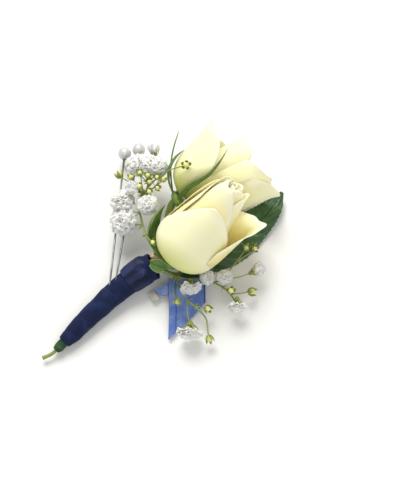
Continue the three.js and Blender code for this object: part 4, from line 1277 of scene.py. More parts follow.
@dataclass
class Bundle:
    """The middle line of the bound stems, with the tape and ribbon wound on it."""

    knots: tuple[Array, ...] = (
        vec(-1.6, -50.4, 3.1),
        vec(-2.4, -29.3, 4.3),
        vec(-2.0, -18.1, 5.2),
        vec(-0.8, -9, 6.9),
        vec(1.2, -3.4, 8),
    )
    end_radius: float = 3.05
    top_radius: float = 5.4
    widening: float = 0.85  # under 1: the tape widens sooner than evenly
    taper: float = 0.22  # share by which the tape's own end is drawn in
    taper_stop: float = 0.14
    tape_start: float = 0.035
    tape_grid: tuple[int, int] = (300, 72)
    wall: float = 1.1
    step: float = 0.11  # how far one turn of tape stands up over the next
    groove: float = 0.12
    groove_width: float = 0.035
    pitch: float = 7.5
    band_start: float = 0.755
    band_stop: float = 0.99
    band_gap: float = 0.4  # how far the band lies off the tape
    band_wall: float = 0.35
    floral_start: float = -0.06
    floral_stop: float = 0.16
    floral_radius: float = 1.95
    floral_bore: float = 1.28
    floral_turns: float = 11.0
    floral_step: float = 0.16

    def __post_init__(self) -> None:
        """Lays the middle line."""
        self.line = Spline(self.knots)

    def inside(self, along: float, right: float, up: float) -> Array:
        """A point in the bundle, right and up from its middle line."""
        return self.line.at(along) + vec(right, 0, up)

    def radius(self, along: Array) -> Array:
        """The tape's radius along the line."""
        held = np.maximum(along, 0)
        tapered = 1 - self.taper * (1 - ease(held / self.taper_stop))
        return mixed(self.end_radius, self.top_radius, held**self.widening) * tapered

    def sleeve(
        self, start: float, stop: float, outer: RadiusAt, inner: RadiusAt, grid: tuple[int, int]
    ) -> Patch:
        """A closed tube round the line.

        Args:
            start: Where it begins along the line.
            stop: Where it ends.
            outer: Its outer radius.
            inner: Its inner radius.
            grid: Rows of faces along it, and faces round it.

        Returns:
            The tube as a patch.
        """
        rows, sides = grid
        along = np.linspace(start, stop, rows + 1)[:, None]
        angle = around(sides)[None, :]
        forward = self.line.tangent(along[:, 0])
        right = unit(np.cross(forward, UP))
        up = np.cross(right, forward)
        centre = self.line.at(along[:, 0])
        skins = []
        for radius_at in (outer, inner):
            radius = radius_at(along, angle) * np.ones((rows + 1, sides))
            ray = np.cos(angle)[..., None] * right[:, None] + np.sin(angle)[..., None] * up[:, None]
            skins.append(centre[:, None] + radius[..., None] * ray)
        faces: Faces = []
        size = (rows + 1) * sides
        for i in range(sides):
            n = (i + 1) % sides
            for j in range(rows):
                a, b, c, d = j * sides + i, j * sides + n, (j + 1) * sides + n, (j + 1) * sides + i
                faces.append((a, d, c, b))
                faces.append((size + a, size + b, size + c, size + d))
            last = rows * sides
            faces.append((i, n, size + n, size + i))
            faces.append((last + n, last + i, size + last + i, size + last + n))
        t = np.tile(np.repeat(np.linspace(0, 1, rows + 1), sides), 2)
        w = np.tile(np.tile(np.linspace(0, 1, sides, endpoint=False), rows + 1), 2)
        return Patch(np.concatenate([s.reshape(-1, 3) for s in skins]), faces, t, w)

    def _phase(self, along: Array, angle: Array) -> Array:
        """How far across the turn of tape a place lies, 0 to 1."""
        turns = along * self.line.length / self.pitch + angle / (2 * math.pi)
        return turns - np.floor(turns)

    def _tape(self, along: Array, angle: Array) -> Array:
        """The navy tape's outer radius: overlapped turns, lengthwise folds and fine crinkles."""
        phase = self._phase(along, angle)
        lip = self.step * (phase - 0.5) - self.groove * np.exp(-((phase / self.groove_width) ** 2))
        folds = 0.08 * np.sin(angle * 3 + along * 21) + 0.04 * np.sin(angle * 5 - along * 37 + 1)
        crinkle = 0.02 * np.sin(angle * 19 + along * 210) * np.sin(angle * 11 - along * 90)
        return self.radius(along) + lip + folds + crinkle

    def _tape_bore(self, along: Array, angle: Array) -> Array:
        """The navy tape's inner radius; its wall is thin at the start and full further up."""
        return self.radius(along) - self.wall * np.minimum(1, 0.4 + 4 * along)

    def build_wrap(self) -> bpy.types.Object:
        """Builds the navy tape."""
        skin = Skin("stem_wrap_tape")
        rows, sides = self.tape_grid
        patch = self.sleeve(self.tape_start, 1.0, self._tape, self._tape_bore, self.tape_grid)
        along = np.linspace(self.tape_start, 1, rows + 1)[:, None]
        phase = self._phase(along, around(sides)[None, :]).ravel()
        skin.add(patch, depth=np.tile(phase, 2))
        return finish_piece(skin, [Look.NAVY], ["stem_wrap"])

    def _flare(self, along: Array, angle: Array) -> Array:
        """The band's inner radius: pleats that open upwards, drawn in at both ends."""
        opened = ease((along - 0.76) / 0.24)
        pleats = 0.2 * opened * np.sin(angle * 6 + along * 30) + 0.08 * np.sin(angle * 13 - along * 60)
        top_drawn_in = 1.6 * ease((along - 0.9) / 0.09)
        foot_drawn_in = 0.3 * (1 - ease((along - self.band_start) / 0.05))
        return self.radius(along) + self.band_gap - foot_drawn_in + 0.15 * opened + pleats - top_drawn_in

    def _flare_outside(self, along: Array, angle: Array) -> Array:
        """The band's outer radius."""
        return self._flare(along, angle) + self.band_wall

    def build_band(self) -> bpy.types.Object:
        """Builds the band of ribbon under the flowers: pleated turns that flare towards the mouth."""
        skin = Skin("ribbon_band_turns")
        sleeve = self.sleeve(self.band_start, self.band_stop, self._flare_outside, self._flare, (60, 144))
        skin.add(sleeve)
        made = finish_piece(skin, [Look.BAND], ["ribbon_band"])
        return made

    def _floral(self, along: Array, angle: Array) -> Array:
        """The green tape's outer radius: close turns, rounded off at the cut end."""
        turns = along * self.floral_turns + angle / (2 * math.pi)
        rounded = 1 - 0.3 * (1 - ease((along - self.floral_start) / 0.035))
        lip = self.floral_step * (turns - np.floor(turns) - 0.5)
        return self.floral_radius * rounded + lip + 0.06 * np.sin(angle * 5 + along * 60)

    def _floral_bore(self, along: Array, angle: Array) -> Array:
        """The green tape's inner radius."""
        return np.full(np.broadcast(along, angle).shape, self.floral_bore)

    def build_floral_tape(self) -> bpy.types.Object:
        """Builds the short green taped end that the navy tape leaves bare."""
        skin = Skin("floral_tape_end")
        sleeve = self.sleeve(self.floral_start, self.floral_stop, self._floral, self._floral_bore, (80, 40))
        skin.add(sleeve, tone=0.4)
        return finish_piece(skin, [Look.GREEN_TAPE], ["floral_tape"])


# ---------------------------------------------------------------- leaves


@dataclass
class LargeLeaf:
    """The serrated rose leaf under the flowers, with its stalk."""

    midrib: tuple[Array, ...] = (
        vec(9.5, 2, 2.6),
        vec(11.5, 16, 2.4),
        vec(14.4, 34, 3),
        vec(14.8, 46, 3.6),
        vec(12.9, 55, 4.2),
    )
    half_widths: tuple[float, ...] = (1, 4.6, 6, 7.8, 8.7, 8.5, 7.5, 6.3, 5.0, 3.5, 0.6)  # stalk to tip
    teeth: int = 26
    tooth_depth: float = 0.32
    side_veins: int = 9
    slant: float = 2.0  # how many veins further on a vein meets the edge
    relief: float = 0.12
    groove: float = 0.35  # how far the midrib is sunk
    groove_width: float = 0.05
    droop_left: float = -0.8
    droop_right: float = 2.3
    least_height: float = 0.25
    thickness: float = 0.45
    smoothings: int = 3

    def _width(self, t: Array) -> Array:
        """The half width along the leaf, rounded between its given values."""
        width = np.interp(t, np.linspace(0.0, 1.0, len(self.half_widths)), self.half_widths)
        for _ in range(self.smoothings):
            width[:, 1:-1] = (width[:, :-2] + 2 * width[:, 1:-1] + width[:, 2:]) / 4
        return width

    def _height(self, u: Array, t: Array) -> Array:
        """How far the surface stands off the midrib's height: veins, droop and soft waves."""
        off_vein = t * self.side_veins - np.abs(u) * self.slant + 0.25 * np.sin(t * 17 + u)
        vein = np.cos(np.abs(off_vein % 1.0 - 0.5) * 2 * np.pi)
        veins = self.relief * vein * np.abs(u) ** 0.5 * (1 - np.abs(u) ** 4)
        sunk = self.groove * np.exp(-((u / self.groove_width) ** 2))
        bend = np.where(u > 0, self.droop_right, self.droop_left)
        droop = bend * u * u * np.sin(np.pi * np.minimum(1, t * 1.15)) ** 0.5
        return veins - sunk - droop + 0.25 * waviness(u * 1.5, t * 3, 71) * np.abs(u)

    def surface(self, across: int, along: int) -> Array:
        """The leaf's middle surface."""
        line = Spline(self.midrib)
        u, t = blade_grid(across, along)
        centre, forward = line.at(t[0]), line.tangent(t[0])
        right = unit(np.cross(forward, UP))
        saw = t * self.teeth + 0.3 * np.sin(t * 31)
        tooth = self.tooth_depth * ((saw - np.floor(saw)) ** 1.3 - 0.4) * np.minimum(1, 8 * (1 - t))
        reach = u * (self._width(t) + tooth * np.abs(u) ** 6)
        grid = centre[None] + reach[..., None] * right[None]
        grid[..., 2] = np.maximum(grid[..., 2] + self._height(u, t), self.least_height)
        return grid

    def build(self, bundle: Bundle) -> bpy.types.Object:
        """Builds the leaf and its stalk, as one piece."""
        skin = Skin("leaf_large_blade")
        skin.add(thin(self.surface(81, 235), self.thickness, 0.6), tone=0.2)
        points = [vec(9.6, 3, 2.6), vec(7.6, 0.8, 2.8), vec(4.6, -1.2, 4), vec(2, -3.8, 5.3)]
        points += [bundle.inside(0.86, 0.4, -2.9), bundle.inside(0.68, 0.2, -2.7)]
        skin.add(stalk(points, 0.75, 0.65, 40, 12), finish=1, tone=0.3)
        return finish_piece(skin, [Look.LEAF, Look.STEM], ["leaf_large"])


@dataclass
class SmallLeaf:
    """The small rounded leaf that is folded back over the binding."""

    root: Array = field(default_factory=lambda: vec(7.4, -1.6, 13.9))
    tip: Array = field(default_factory=lambda: vec(2.5, -4.6, 15.8))
    half_width: float = 2.5
    cupping: float = 0.6
    rim: float = 0.3
    crease: float = 0.3
    crease_width: float = 0.08

    def build(self) -> bpy.types.Object:
        """Builds the leaf: cupped, with a raised pale rim."""
        u, t = blade_grid(25, 41)
        reach = self.tip - self.root
        across = unit(np.cross(reach, FACING))
        width = self.half_width * np.sin(np.pi * (0.10 + 0.84 * t)) ** 0.6 * (1 + 0.03 * np.sin(t * 40))
        grid = self.root + t[..., None] * reach + (u * width)[..., None] * across
        lift = self.cupping * (u * u - 1) + self.rim * np.abs(u) ** 6
        lift = lift - self.crease * np.exp(-((u / self.crease_width) ** 2))
        skin = Skin("leaf_small_blade")
        skin.add(thin(grid + lift[..., None] * FACING, 0.5, 0.7))
        return finish_piece(skin, [Look.SMALL_LEAF], ["leaf_small"])


# ---------------------------------------------------------------- gypsophila


LOBES = 5
# each whorl of a floret: how many petals, their slope in degrees and their share of the full length
FULL_WHORLS = ((9, 2, 1.0), (10, 20, 0.97), (9, 38, 0.93), (8, 55, 0.88), (6, 70, 0.82), (3, 84, 0.76))
HALF_OPEN_WHORLS = ((5, 12, 1.0), (5, 16, 0.97), (4, 24, 0.93), (3, 36, 0.88))


@dataclass(frozen=True)
class Head:
    """What stands at a twig's end."""

    at: Place
    facing: Place

    def spot(self) -> Array:
        """Where it stands."""
        return np.array(self.at, float)

    def direction(self) -> Array:
        """Which way it faces."""
        return unit(np.array(self.facing, float))


@dataclass(frozen=True)
class Floret(Head):
    """A double floret of many small ruffled petals over a green cup."""

    diameter: float
    least_rise: float = 0.0  # slope of its outermost petals, in degrees: a high one makes a fan
    HALF_OPEN = 6.0  # smaller ones are only half open
    CLOSED_REACH = 1.9  # length of their petals, which stand up, over half the diameter
    CLOSED_SLOPE = 1.25  # how far, in radians, such a petal closes over the middle
    OPEN_SLOPE = 0.27  # how far an open one bends, up at its root and down at its tip
    ROOT = 0.06
    THICKNESS = 0.16

    def petals(self, skin: Skin, seed: int) -> None:
        """Adds the petals, whorl by whorl."""
        draw = np.random.default_rng(seed)
        closed = self.diameter <= self.HALF_OPEN
        full_length = self.diameter / 2 * (self.CLOSED_REACH if closed else 1)
        direction = self.direction()
        centre = self.spot() + direction * 0.6
        for whorl, (count, rise, share) in enumerate(HALF_OPEN_WHORLS if closed else FULL_WHORLS):
            for k in range(count):
                turn = 2 * math.pi * (k + 0.5 * (whorl % 2)) / count + draw.normal(0, 0.12)
                length = full_length * share * draw.uniform(0.9, 1.06)
                tilt = math.radians(self.least_rise + rise * (1 - self.least_rise / 90) + draw.normal(0, 5))
                patch = self._petal(length, tilt, length * draw.uniform(0.42, 0.54), draw, closed)
                patch.points = spun(patch.points, turn)
                skin.add(patch.turned(centre, direction), tone=draw.uniform(0, 1), depth=0.2 * whorl)

    def _petal(
        self, length: float, rise: float, half_width: float, draw: np.random.Generator, closed: bool
    ) -> Patch:
        """One notched petal with a ruffled tip; a closed one bends over the middle of its flower."""
        u, v = blade_grid(7, 8, self.ROOT)
        notch = 1 - 0.10 * np.exp(-((u / 0.3) ** 2)) - 0.20 * np.abs(u) ** 3
        s = v * notch
        width = half_width * (0.22 + 0.78 * ease(v * 1.15)) * u
        slope = rise + (self.CLOSED_SLOPE * v * v if closed else self.OPEN_SLOPE * (1 - 2 * v))
        ruffle = 0.13 * half_width * np.sin(u * draw.uniform(3.5, 6.0) + draw.uniform(0, 6.3)) * v * v * 2.2
        raised = ruffle + 0.22 * half_width * u * u * v
        out = length * s * np.cos(slope) - raised * np.sin(slope)
        up = length * s * np.sin(slope) + raised * np.cos(slope)
        return thin(joined(out, width, up), self.THICKNESS, 0.6)

    def cup(self, skin: Skin, seed: int) -> None:
        """Adds the green cup with its pointed lobes."""
        radius = 0.8 + self.diameter * 0.05
        foot = [(0, -1.9), (0.45, -1.8), (radius * 0.8, -1.1)]
        top = [(radius, -0.3), (radius * 0.5, 0.1), (0, 0.15)]
        spot, direction = self.spot(), self.direction()
        skin.add(lathe(foot + top, 15, 9, LOBES, 0.16).turned(spot, direction), finish=1, tone=0.3)
        lobes(skin, spot - direction * 0.4, direction, radius, 1.5 + 0.16 * self.diameter, 1.05, seed)


def lobes(
    skin: Skin, at: Array, direction: Array, radius: float, length: float, opening: float, seed: int
) -> None:
    """Adds narrow pointed lobes that stand round a cup or bud.

    Args:
        skin: Where they go.
        at: The middle of their ring.
        direction: Which way the flower faces.
        radius: Radius of the ring that they stand on.
        length: How long each one is.
        opening: How far they lean out, in radians.
        seed: Their small differences.
    """
    draw = np.random.default_rng(seed + 900)
    u, v = blade_grid(5, 8)
    for k in range(LOBES):
        turn = 2 * math.pi * k / LOBES + draw.normal(0, 0.08)
        reach = length * draw.uniform(0.9, 1.1)
        lean = opening * (1 - 0.5 * v) + draw.normal(0, 0.06)
        out = radius * 0.62 + reach * v * np.sin(lean) + 0.10 * radius * (1 - u * u)
        width = 0.46 * radius * np.sin(np.pi * (0.2 + 0.8 * v)) ** 0.8 * u
        grid = spun(joined(out, width, reach * v * np.cos(lean)), turn)
        skin.add(thin(grid, 0.16, 0.5).turned(at, direction), finish=1, tone=draw.uniform(0, 1))


@dataclass(frozen=True)
class Bud(Head):
    """A closed bud in a star of green lobes."""

    radius: float

    def add(self, skin: Skin, seed: int) -> None:
        """Adds the bud."""
        r = self.radius
        foot = [(0, -r), (0.45 * r, -0.9 * r), (0.86 * r, -0.2 * r)]
        top = [(0.78 * r, 0.45 * r), (0.4 * r, 0.85 * r), (0, 0.98 * r)]
        spot, direction = self.spot(), self.direction()
        body = lathe(foot + top, 20, 12, LOBES, 0.12)
        skin.add(body.turned(spot, direction), finish=2, tone=own_tone(seed))
        lobes(skin, spot - direction * 0.7 * r, direction, r, 2.0 * r, 0.62, seed)


@dataclass
class Spray:
    """A spray of gypsophila: stems, bracts at its forks, buds and clusters of florets."""

    name: str
    stems: tuple[tuple[float, float, tuple[Array, ...]], ...]  # radius at the start, at the end, points
    clusters: dict[str, tuple[Floret, ...]]
    buds: tuple[Bud, ...]
    seed: int
    SLIMMED = 0.75
    BUD_SEED = 40
    CUP_SEED = 70
    PETAL_SEED = 200
    CLUSTER_SEED = 20
    SWELLING = 0.25  # how much thicker a stem is where it forks off
    SWOLLEN = 0.9

    def _stem(self, skin: Skin, start: float, stop: float, points: tuple[Array, ...]) -> None:
        """Adds one stem with a swelling where it forks off."""
        line = Spline(points)
        t = np.linspace(0, 1, max(8, int(line.length * 1.4)))
        swollen = 1 + self.SWELLING * np.exp(-((t * line.length / self.SWOLLEN) ** 2))
        skin.add(tube(line.at(t), self.SLIMMED * mixed(start, stop, t) * swollen, 10))

    def _bracts(self, skin: Skin, at: Array, direction: Array, seed: int) -> None:
        """Adds a pair of narrow leaves at a fork."""
        draw = np.random.default_rng(seed)
        u, v = blade_grid(5, 10)
        lean = 0.5 + 0.35 * v
        width = 0.36 * np.sin(np.pi * (0.12 + 0.88 * v)) * u
        for side in (0.0, math.pi):
            reach = draw.uniform(1.9, 2.8) * v
            grid = joined(0.25 + reach * np.sin(lean), width, reach * np.cos(lean))
            grid = spun(grid, side + draw.uniform(-0.4, 0.4))
            skin.add(thin(grid, 0.18, 0.5).turned(at, direction, 1.2), finish=1, tone=0.1)

    def build_green(self) -> bpy.types.Object:
        """Builds all that is green on the spray, as one piece."""
        skin = Skin(f"{self.name}_stems")
        for k, (start, stop, points) in enumerate(self.stems):
            self._stem(skin, start, stop, points)
            if k:
                self._bracts(skin, points[0], points[1] - points[0], self.seed + k)
        for k, bud in enumerate(self.buds):
            bud.add(skin, self.seed + self.BUD_SEED + k)
        for k, floret in enumerate(f for group in self.clusters.values() for f in group):
            floret.cup(skin, self.seed + self.CUP_SEED + k)
        return finish_piece(skin, [Look.TWIG, Look.BRACT, Look.BUD], [f"{self.name}_green"])

    def build_florets(self, side: str) -> None:
        """Builds each cluster of florets as a piece of its own."""
        for k, (cluster, florets) in enumerate(self.clusters.items()):
            skin = Skin(f"florets_{side}_{cluster}_petals")
            for j, floret in enumerate(florets):
                floret.petals(skin, self.seed + self.PETAL_SEED + self.CLUSTER_SEED * k + j)
            finish_piece(skin, [Look.FLORET], [f"florets_{side}_{cluster}"])


STEM_RADIUS = 0.55
TWIG_RADIUS = STEM_RADIUS * 0.62
TWIG_END = TWIG_RADIUS * 0.85
LONG_STEM_RADIUS = 0.95


def branch(*points: Array) -> tuple[float, float, tuple[Array, ...]]:
    """A branch that thins to a twig."""
    return STEM_RADIUS, TWIG_RADIUS, points


def twig(*points: Array) -> tuple[float, float, tuple[Array, ...]]:
    """A thin twig."""
    return TWIG_RADIUS, TWIG_END, points


def left_spray(bundle: Bundle) -> Spray:
    """The spray beside the pins; its stem runs the whole way down and shows at the cut end."""
    fork, crown = vec(-17.2, 6.6, 13.4), vec(-21.4, 12.8, 14.6)
    lower, upper, outer = vec(-19.4, 9.4, 14), vec(-24, 17.4, 14.4), vec(-28.2, 21.4, 14.2)
    raised, leaning, bend = vec(-22, 15.4, 16), vec(-20, 17.8, 16.6), vec(-8.6, 2.2, 12.9)
    cut_end = [vec(-2.9, -58.9, 2.4), vec(-1.6, -55.6, 2.75), vec(-1.45, -53.4, 2.9)]
    low = [(0, 0, 0), (0.09, 0, 0), (0.15, 0, 0), (0.2, -0.9, 0.4)]  # along the bundle, right and up
    high = [(0.32, -0.7, 1.3), (0.45, 0.3, 2.1), (0.65, 0.9, 2.1), (0.85, 0.9, 2.2)]
    inside = [bundle.inside(*place) for place in low + high]
    main = (*cut_end, *inside, vec(0.9, -2.8, 10.8), vec(-1.2, 0.2, 12), bend, fork)
    return Spray(
        "gyp_left",
        stems=(
            (LONG_STEM_RADIUS, STEM_RADIUS, main),
            branch(fork, lower, crown, upper, outer),
            twig(fork, vec(-21.6, 4.6, 12.4), vec(-25.4, 4.6, 11.2)),
            twig(vec(-13, 4.4, 12.8), vec(-17.4, 0.6, 10.8), vec(-20.4, -0.6, 9.2)),
            twig(lower, vec(-16.6, 10.8, 14.2)),
            twig(crown, vec(-24.8, 12.2, 13.7)),
            twig(upper, vec(-29, 17.6, 13.6), vec(-32, 18.4, 13.2)),
            twig(upper, vec(-24.6, 21, 14.6), vec(-24.6, 23.3, 15)),
            twig(outer, vec(-31.2, 24.6, 11.6), vec(-33.2, 27.6, 10)),
            twig(crown, vec(-29.6, 12.4, 14), vec(-34, 11.4, 14.1)),
            twig(crown, vec(-24.6, 14.8, 16.4), vec(-27.2, 16.8, 18.2)),
            twig(crown, vec(-26, 13.2, 15.4), vec(-29.2, 13.7, 16.4)),
            twig(crown, raised, vec(-22.6, 17.2, 16.8)),
            twig(crown, leaning, vec(-19.2, 21.3, 18)),
            twig(crown, vec(-22.4, 13.2, 16.4), vec(-23.4, 13.3, 17.8)),
            twig(crown, vec(-20.4, 13.6, 16.2), vec(-19.8, 14.4, 17)),
            twig(upper, vec(-25, 18, 16.8), vec(-24.8, 18.5, 18)),
            twig(raised, vec(-21.8, 19.4, 17.2), vec(-21.7, 20.4, 18)),
            twig(leaning, vec(-18.8, 17.8, 17.4)),
            twig(leaning, vec(-18.4, 24, 23.4), vec(-13.4, 29.6, 28)),
            twig(bend, vec(-5.6, 1, 19.8), vec(-1.3, 0.8, 21.8)),
        ),
        clusters={
            "top": (
                Floret((-33, 19.4, 14.6), (-0.3, 0.1, 1), 9.8),
                Floret((-29, 22.6, 15.4), (0.05, 0.1, 1), 9.8),
                Floret((-26, 24.4, 15.4), (0.2, 0.1, 1), 8.6),
            ),
            "side": (Floret((-25.9, 5, 12.6), (-0.5, 0.2, 1), 10.8),),
            "low": (Floret((-20.3, 0.2, 10.4), (0.1, -0.6, 0.9), 12),),
            "inner": (Floret((-16.4, 10.9, 15.6), (0.1, -0.2, 1), 9),),
            "small": (Floret((-25, 12, 14.9), (-0.2, -0.4, 1), 5.2),),
            "halfOpen": (Floret((-33.6, 28.2, 10.8), (-0.6, 0.6, 0.5), 4.6),),
        },
        buds=(
            Bud((-34.9, 11.4, 14.4), (-1, 0.4, 0.4), 1.5),
            Bud((-27.5, 16.9, 19), (-0.4, 0.3, 1), 1.2),
            Bud((-29.6, 13.7, 17), (-0.6, 0, 1), 1.2),
            Bud((-22.6, 17.4, 17.6), (0, 0.4, 1), 1.2),
            Bud((-19.2, 21.7, 19), (0.3, 0.4, 1), 1.3),
            Bud((-23.6, 13.2, 18.4), (-0.2, -0.2, 1), 1.2),
            Bud((-19.6, 14.6, 17.6), (0.3, 0, 1), 1.1),
            Bud((-24.8, 18.6, 18.6), (-0.1, 0.3, 1), 1.2),
            Bud((-21.6, 20.6, 18.6), (0.2, 0.5, 1), 1.1),
            Bud((-18.3, 17.8, 18), (0.5, 0.1, 1), 1.1),
            Bud((-12.8, 30, 28.8), SHOWN_SIDE, 1.5),
            Bud((-0.8, 0.8, 22), (0.5, 0, 1), 1.1),
        ),
        seed=300,
    )


def right_spray(bundle: Bundle) -> Spray:
    """The loose spray beside the ribbon."""
    fork, first, second, third = vec(19, 7, 6.6), vec(22.6, 8.8, 7), vec(26.3, 10, 7.4), vec(30.6, 10.2, 7.2)
    raised, tall, foot = vec(24.2, 12, 7.6), vec(22.4, 21, 6.6), vec(10, 0, 6.6)
    near, far = vec(14, -1.4, 7.6), vec(20.4, -3.4, 6.8)
    return Spray(
        "gyp_right",
        stems=(
            branch(bundle.inside(0.8, 2.6, 1.6), vec(3.7, -3.7, 9.6), foot, vec(15.4, 4.2, 5.9), fork),
            branch(fork, first, second, third, vec(35, 9.4, 6.8)),
            twig(second, vec(28.6, 10.6, 8.2), vec(30.5, 10.9, 9)),
            twig(third, vec(33, 13.4, 6.8), vec(34.8, 16.4, 6.3)),
            twig(first, raised, vec(24.6, 12.8, 8)),
            twig(raised, vec(28, 17.6, 7.2), vec(30, 22, 7.3)),
            twig(fork, vec(19.3, 8.4, 7.4)),
            twig(raised, tall, vec(21.2, 27.2, 6.8)),
            twig(tall, vec(23.6, 29.4, 6.2)),
            branch(foot, near, vec(17.6, 0.2, 8.2)),
            twig(near, far, vec(25, -7, 6.6), vec(28.4, -9, 6.5)),
            branch(far, vec(27, -2.6, 6.4), vec(31.3, -3.1, 6), vec(35.6, -6.2, 5.2), vec(37.2, -7.1, 5)),
            twig(vec(24, -3, 6.6), vec(28.4, -0.2, 7.2)),
            twig(foot, vec(13.6, -4.4, 7.8), vec(18.2, -6, 8)),
        ),
        clusters={
            "edge": (Floret((34.6, 10.2, 7.4), (0.75, -0.64, 0.1), 8.4, 40),),
            "upper": (Floret((24.6, 12.9, 9), (0.4, 0.3, 1), 6.4),),
            "inner": (Floret((19.7, 8.4, 8), (0.2, 0, 1), 6.2),),
            "halfOpen": (Floret((30.2, 22.6, 7.4), (0.4, 0.9, 0.4), 4.8),),
            "ribbonSide": (Floret((16.8, 2.3, 9.2), (0.75, -0.62, 0.1), 10, 40),),
            "low": (Floret((28.9, -9.2, 6.6), (0.75, -0.65, 0.0), 11.6, 40),),
        },
        buds=(
            Bud((30.6, 10.9, 9.6), (0.3, 0.2, 1), 1.4),
            Bud((21.2, 27.6, 7.4), (0.1, 0.3, 1), 1.2),
            Bud((23.6, 29.9, 6.8), (0.5, 0.3, 1), 1.2),
            Bud((35.2, 16.9, 6.2), (0.8, 0.5, 0.4), 1.5),
            Bud((37.4, -7.2, 5), (0.8, -0.5, 0.2), 1.45),
            Bud((28.8, 0, 7.4), (0.8, 0, 0.6), 1.4),
            Bud((18.8, -6.3, 8), (0.4, -0.8, 0.2), 1.3),
        ),
        seed=600,
    )


# ---------------------------------------------------------------- ribbon, tape and pins


@dataclass
class Ribbon:
    """The sheer ribbon's tail, and the small loop between it and the band."""

    root: Array = field(default_factory=lambda: vec(8.2, -2.2, 5.2))
    towards: Array = field(default_factory=lambda: unit(vec(0.73, -0.68, 0)))
    across: Array = field(default_factory=lambda: vec(0.68, 0.73, 0))
    short_side: float = 9.5
    long_side: float = 24.0
    width: float = 14.4
    thickness: float = 0.22
    edge: float = 0.8
    root_height: float = 4.6
    end_height: float = 1.2
    settled: float = 17.0  # how far from its root the tail has come down
    fold_share: float = 0.2  # share of the width that is folded over
    fold_lift: float = 0.5
    loop_middle: Array = field(default_factory=lambda: vec(8.6, -5.2, 4.2))
    loop_closed: float = 0.96  # share of the way to its middle that the loop's sides reach
    loop_wave: float = 0.12

    def _strip(self, high: float, lift: float, columns: int) -> Patch:
        """Part of the tail, from its long side to a share of its width."""
        u = np.linspace(0, high, columns)[:, None]
        t = np.linspace(0, 1, 81)[None, :]
        far = mixed(self.long_side, self.short_side, u) * t
        sideways = u * self.width * np.ones_like(t)
        grid = self.root + far[..., None] * self.towards + sideways[..., None] * self.across
        fall = mixed(self.root_height, self.end_height, ease(far / self.settled))
        ripple = 0.14 * np.sin(u * 11 + far * 0.35) + 0.08 * np.sin(far * 0.9 + u * 4)
        grid[..., 2] = fall + 0.5 * np.sin(u * math.pi * 2) + ripple + lift
        return thin(grid, self.thickness, self.edge)

    def build_tail(self, loop: bpy.types.Object) -> bpy.types.Object:
        """Builds the tail that the loop hangs from, with a strip folded over along its long side."""
        skin = Skin("ribbon_tail_sheer")
        skin.add(self._strip(1.0, 0.0, 61))
        skin.add(self._strip(self.fold_share, self.fold_lift, 13))
        made = finish_piece(skin, [Look.TAIL], ["ribbon_tail"])
        return made

    def build_loop(self) -> bpy.types.Object:
        """Builds the small loop."""
        rim = [vec(7.4, -9.4, 3.6), vec(9.6, -9.2, 3.3), vec(12, -7.8, 3), vec(12, -5.4, 3.4)]
        path = Spline([*rim, vec(9.4, -2.6, 4.2)]).even(49)
        u = np.linspace(0, self.loop_closed, 21)[:, None, None]
        grid = path[None] * (1 - u) + self.loop_middle * u
        grid[..., 2] += self.loop_wave * np.sin(np.linspace(0, 9, 49))[None, :]
        skin = Skin("ribbon_loop_sheer")
        skin.add(thin(grid, self.thickness, self.edge))
        return finish_piece(skin, [Look.TAIL], [])


@dataclass
class TapeTab:
    """A scrap of clear tape under the wrap's mouth."""

    corner: Array = field(default_factory=lambda: vec(6.4, -12.2, 1.9))
    reach: Array = field(default_factory=lambda: vec(4.32, -0.6, -0.12))
    side: Array = field(default_factory=lambda: vec(0.4, 3.2, 0))
    curl: float = 0.25
    bulge: float = 0.12
    thickness: float = 0.16

    def build(self) -> bpy.types.Object:
        """Builds the scrap, a little curled."""
        u = np.linspace(0, 1, 9)[:, None, None]
        t = np.linspace(0, 1, 17)[None, :, None]
        grid = self.corner + t * self.reach + u * self.side
        grid[..., 2] += (self.curl * t * t + self.bulge * np.sin(u * math.pi))[..., 0]
        skin = Skin("tape_tab_scrap")
        skin.add(thin(grid, self.thickness, 0.9))
        return finish_piece(skin, [Look.CLEAR], ["tape_tab"])


@dataclass
class Pin:
    """A straight steel pin with a pearl head."""

    number: int
    head: Array
    entry: Array
    buried: float
    pearl: float = 2.7
    radius: float = 0.4
    sunk: float = 0.25  # how far the collar sits in the pearl
    # share of the shaft and share of its radius: collar, straight shaft and point
    COLLAR = ((0.0, 1.5), (0.002, 1.6), (0.012, 1.6), (0.016, 1.0))
    SHAFT = ((0.3, 1.0), (0.6, 1.0), (0.9, 1.0), (0.97, 0.7), (1.0, 0.08))

    def build(self) -> None:
        """Builds the shaft, with its collar and point, and the pearl."""
        forward = unit(self.entry - self.head)
        start = self.head + forward * (self.pearl - self.sunk)
        end = self.entry + forward * self.buried
        shares, sizes = np.array(self.COLLAR + self.SHAFT).T
        shaft = Skin(f"pin_{self.number}_steel")
        shaft.add(tube(start + shares[:, None] * (end - start), self.radius * sizes, 20))
        head = Skin(f"pin_{self.number}_bead")
        bow = np.linspace(-math.pi / 2, math.pi / 2, 17)
        half_circle = [(max(0.0, self.pearl * math.cos(a)), self.pearl * math.sin(a)) for a in bow]
        head.add(lathe(half_circle, 44, 32).turned(self.head, -forward))
        finish_piece(shaft, [Look.STEEL], [f"pin_{self.number}_shaft"])
        finish_piece(head, [Look.PEARL], [f"pin_{self.number}_pearl"])


PINS = (
    Pin(1, head=vec(-45.4, 21, 5.4), entry=vec(-6.5, -19.3, 8.4), buried=4),
    Pin(2, head=vec(-42.1, 26.2, 6.2), entry=vec(-6.4, -15.6, 9.4), buried=3.6),
)


def pearl_shift() -> Array:
    """How far the row frame lies from the maker's, found from the first pin's pearl."""
    low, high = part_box("pin_1_pearl")
    return np.array((low + high) / 2) / MM - PINS[0].head


SHIFT = pearl_shift()


# ---------------------------------------------------------------- stage


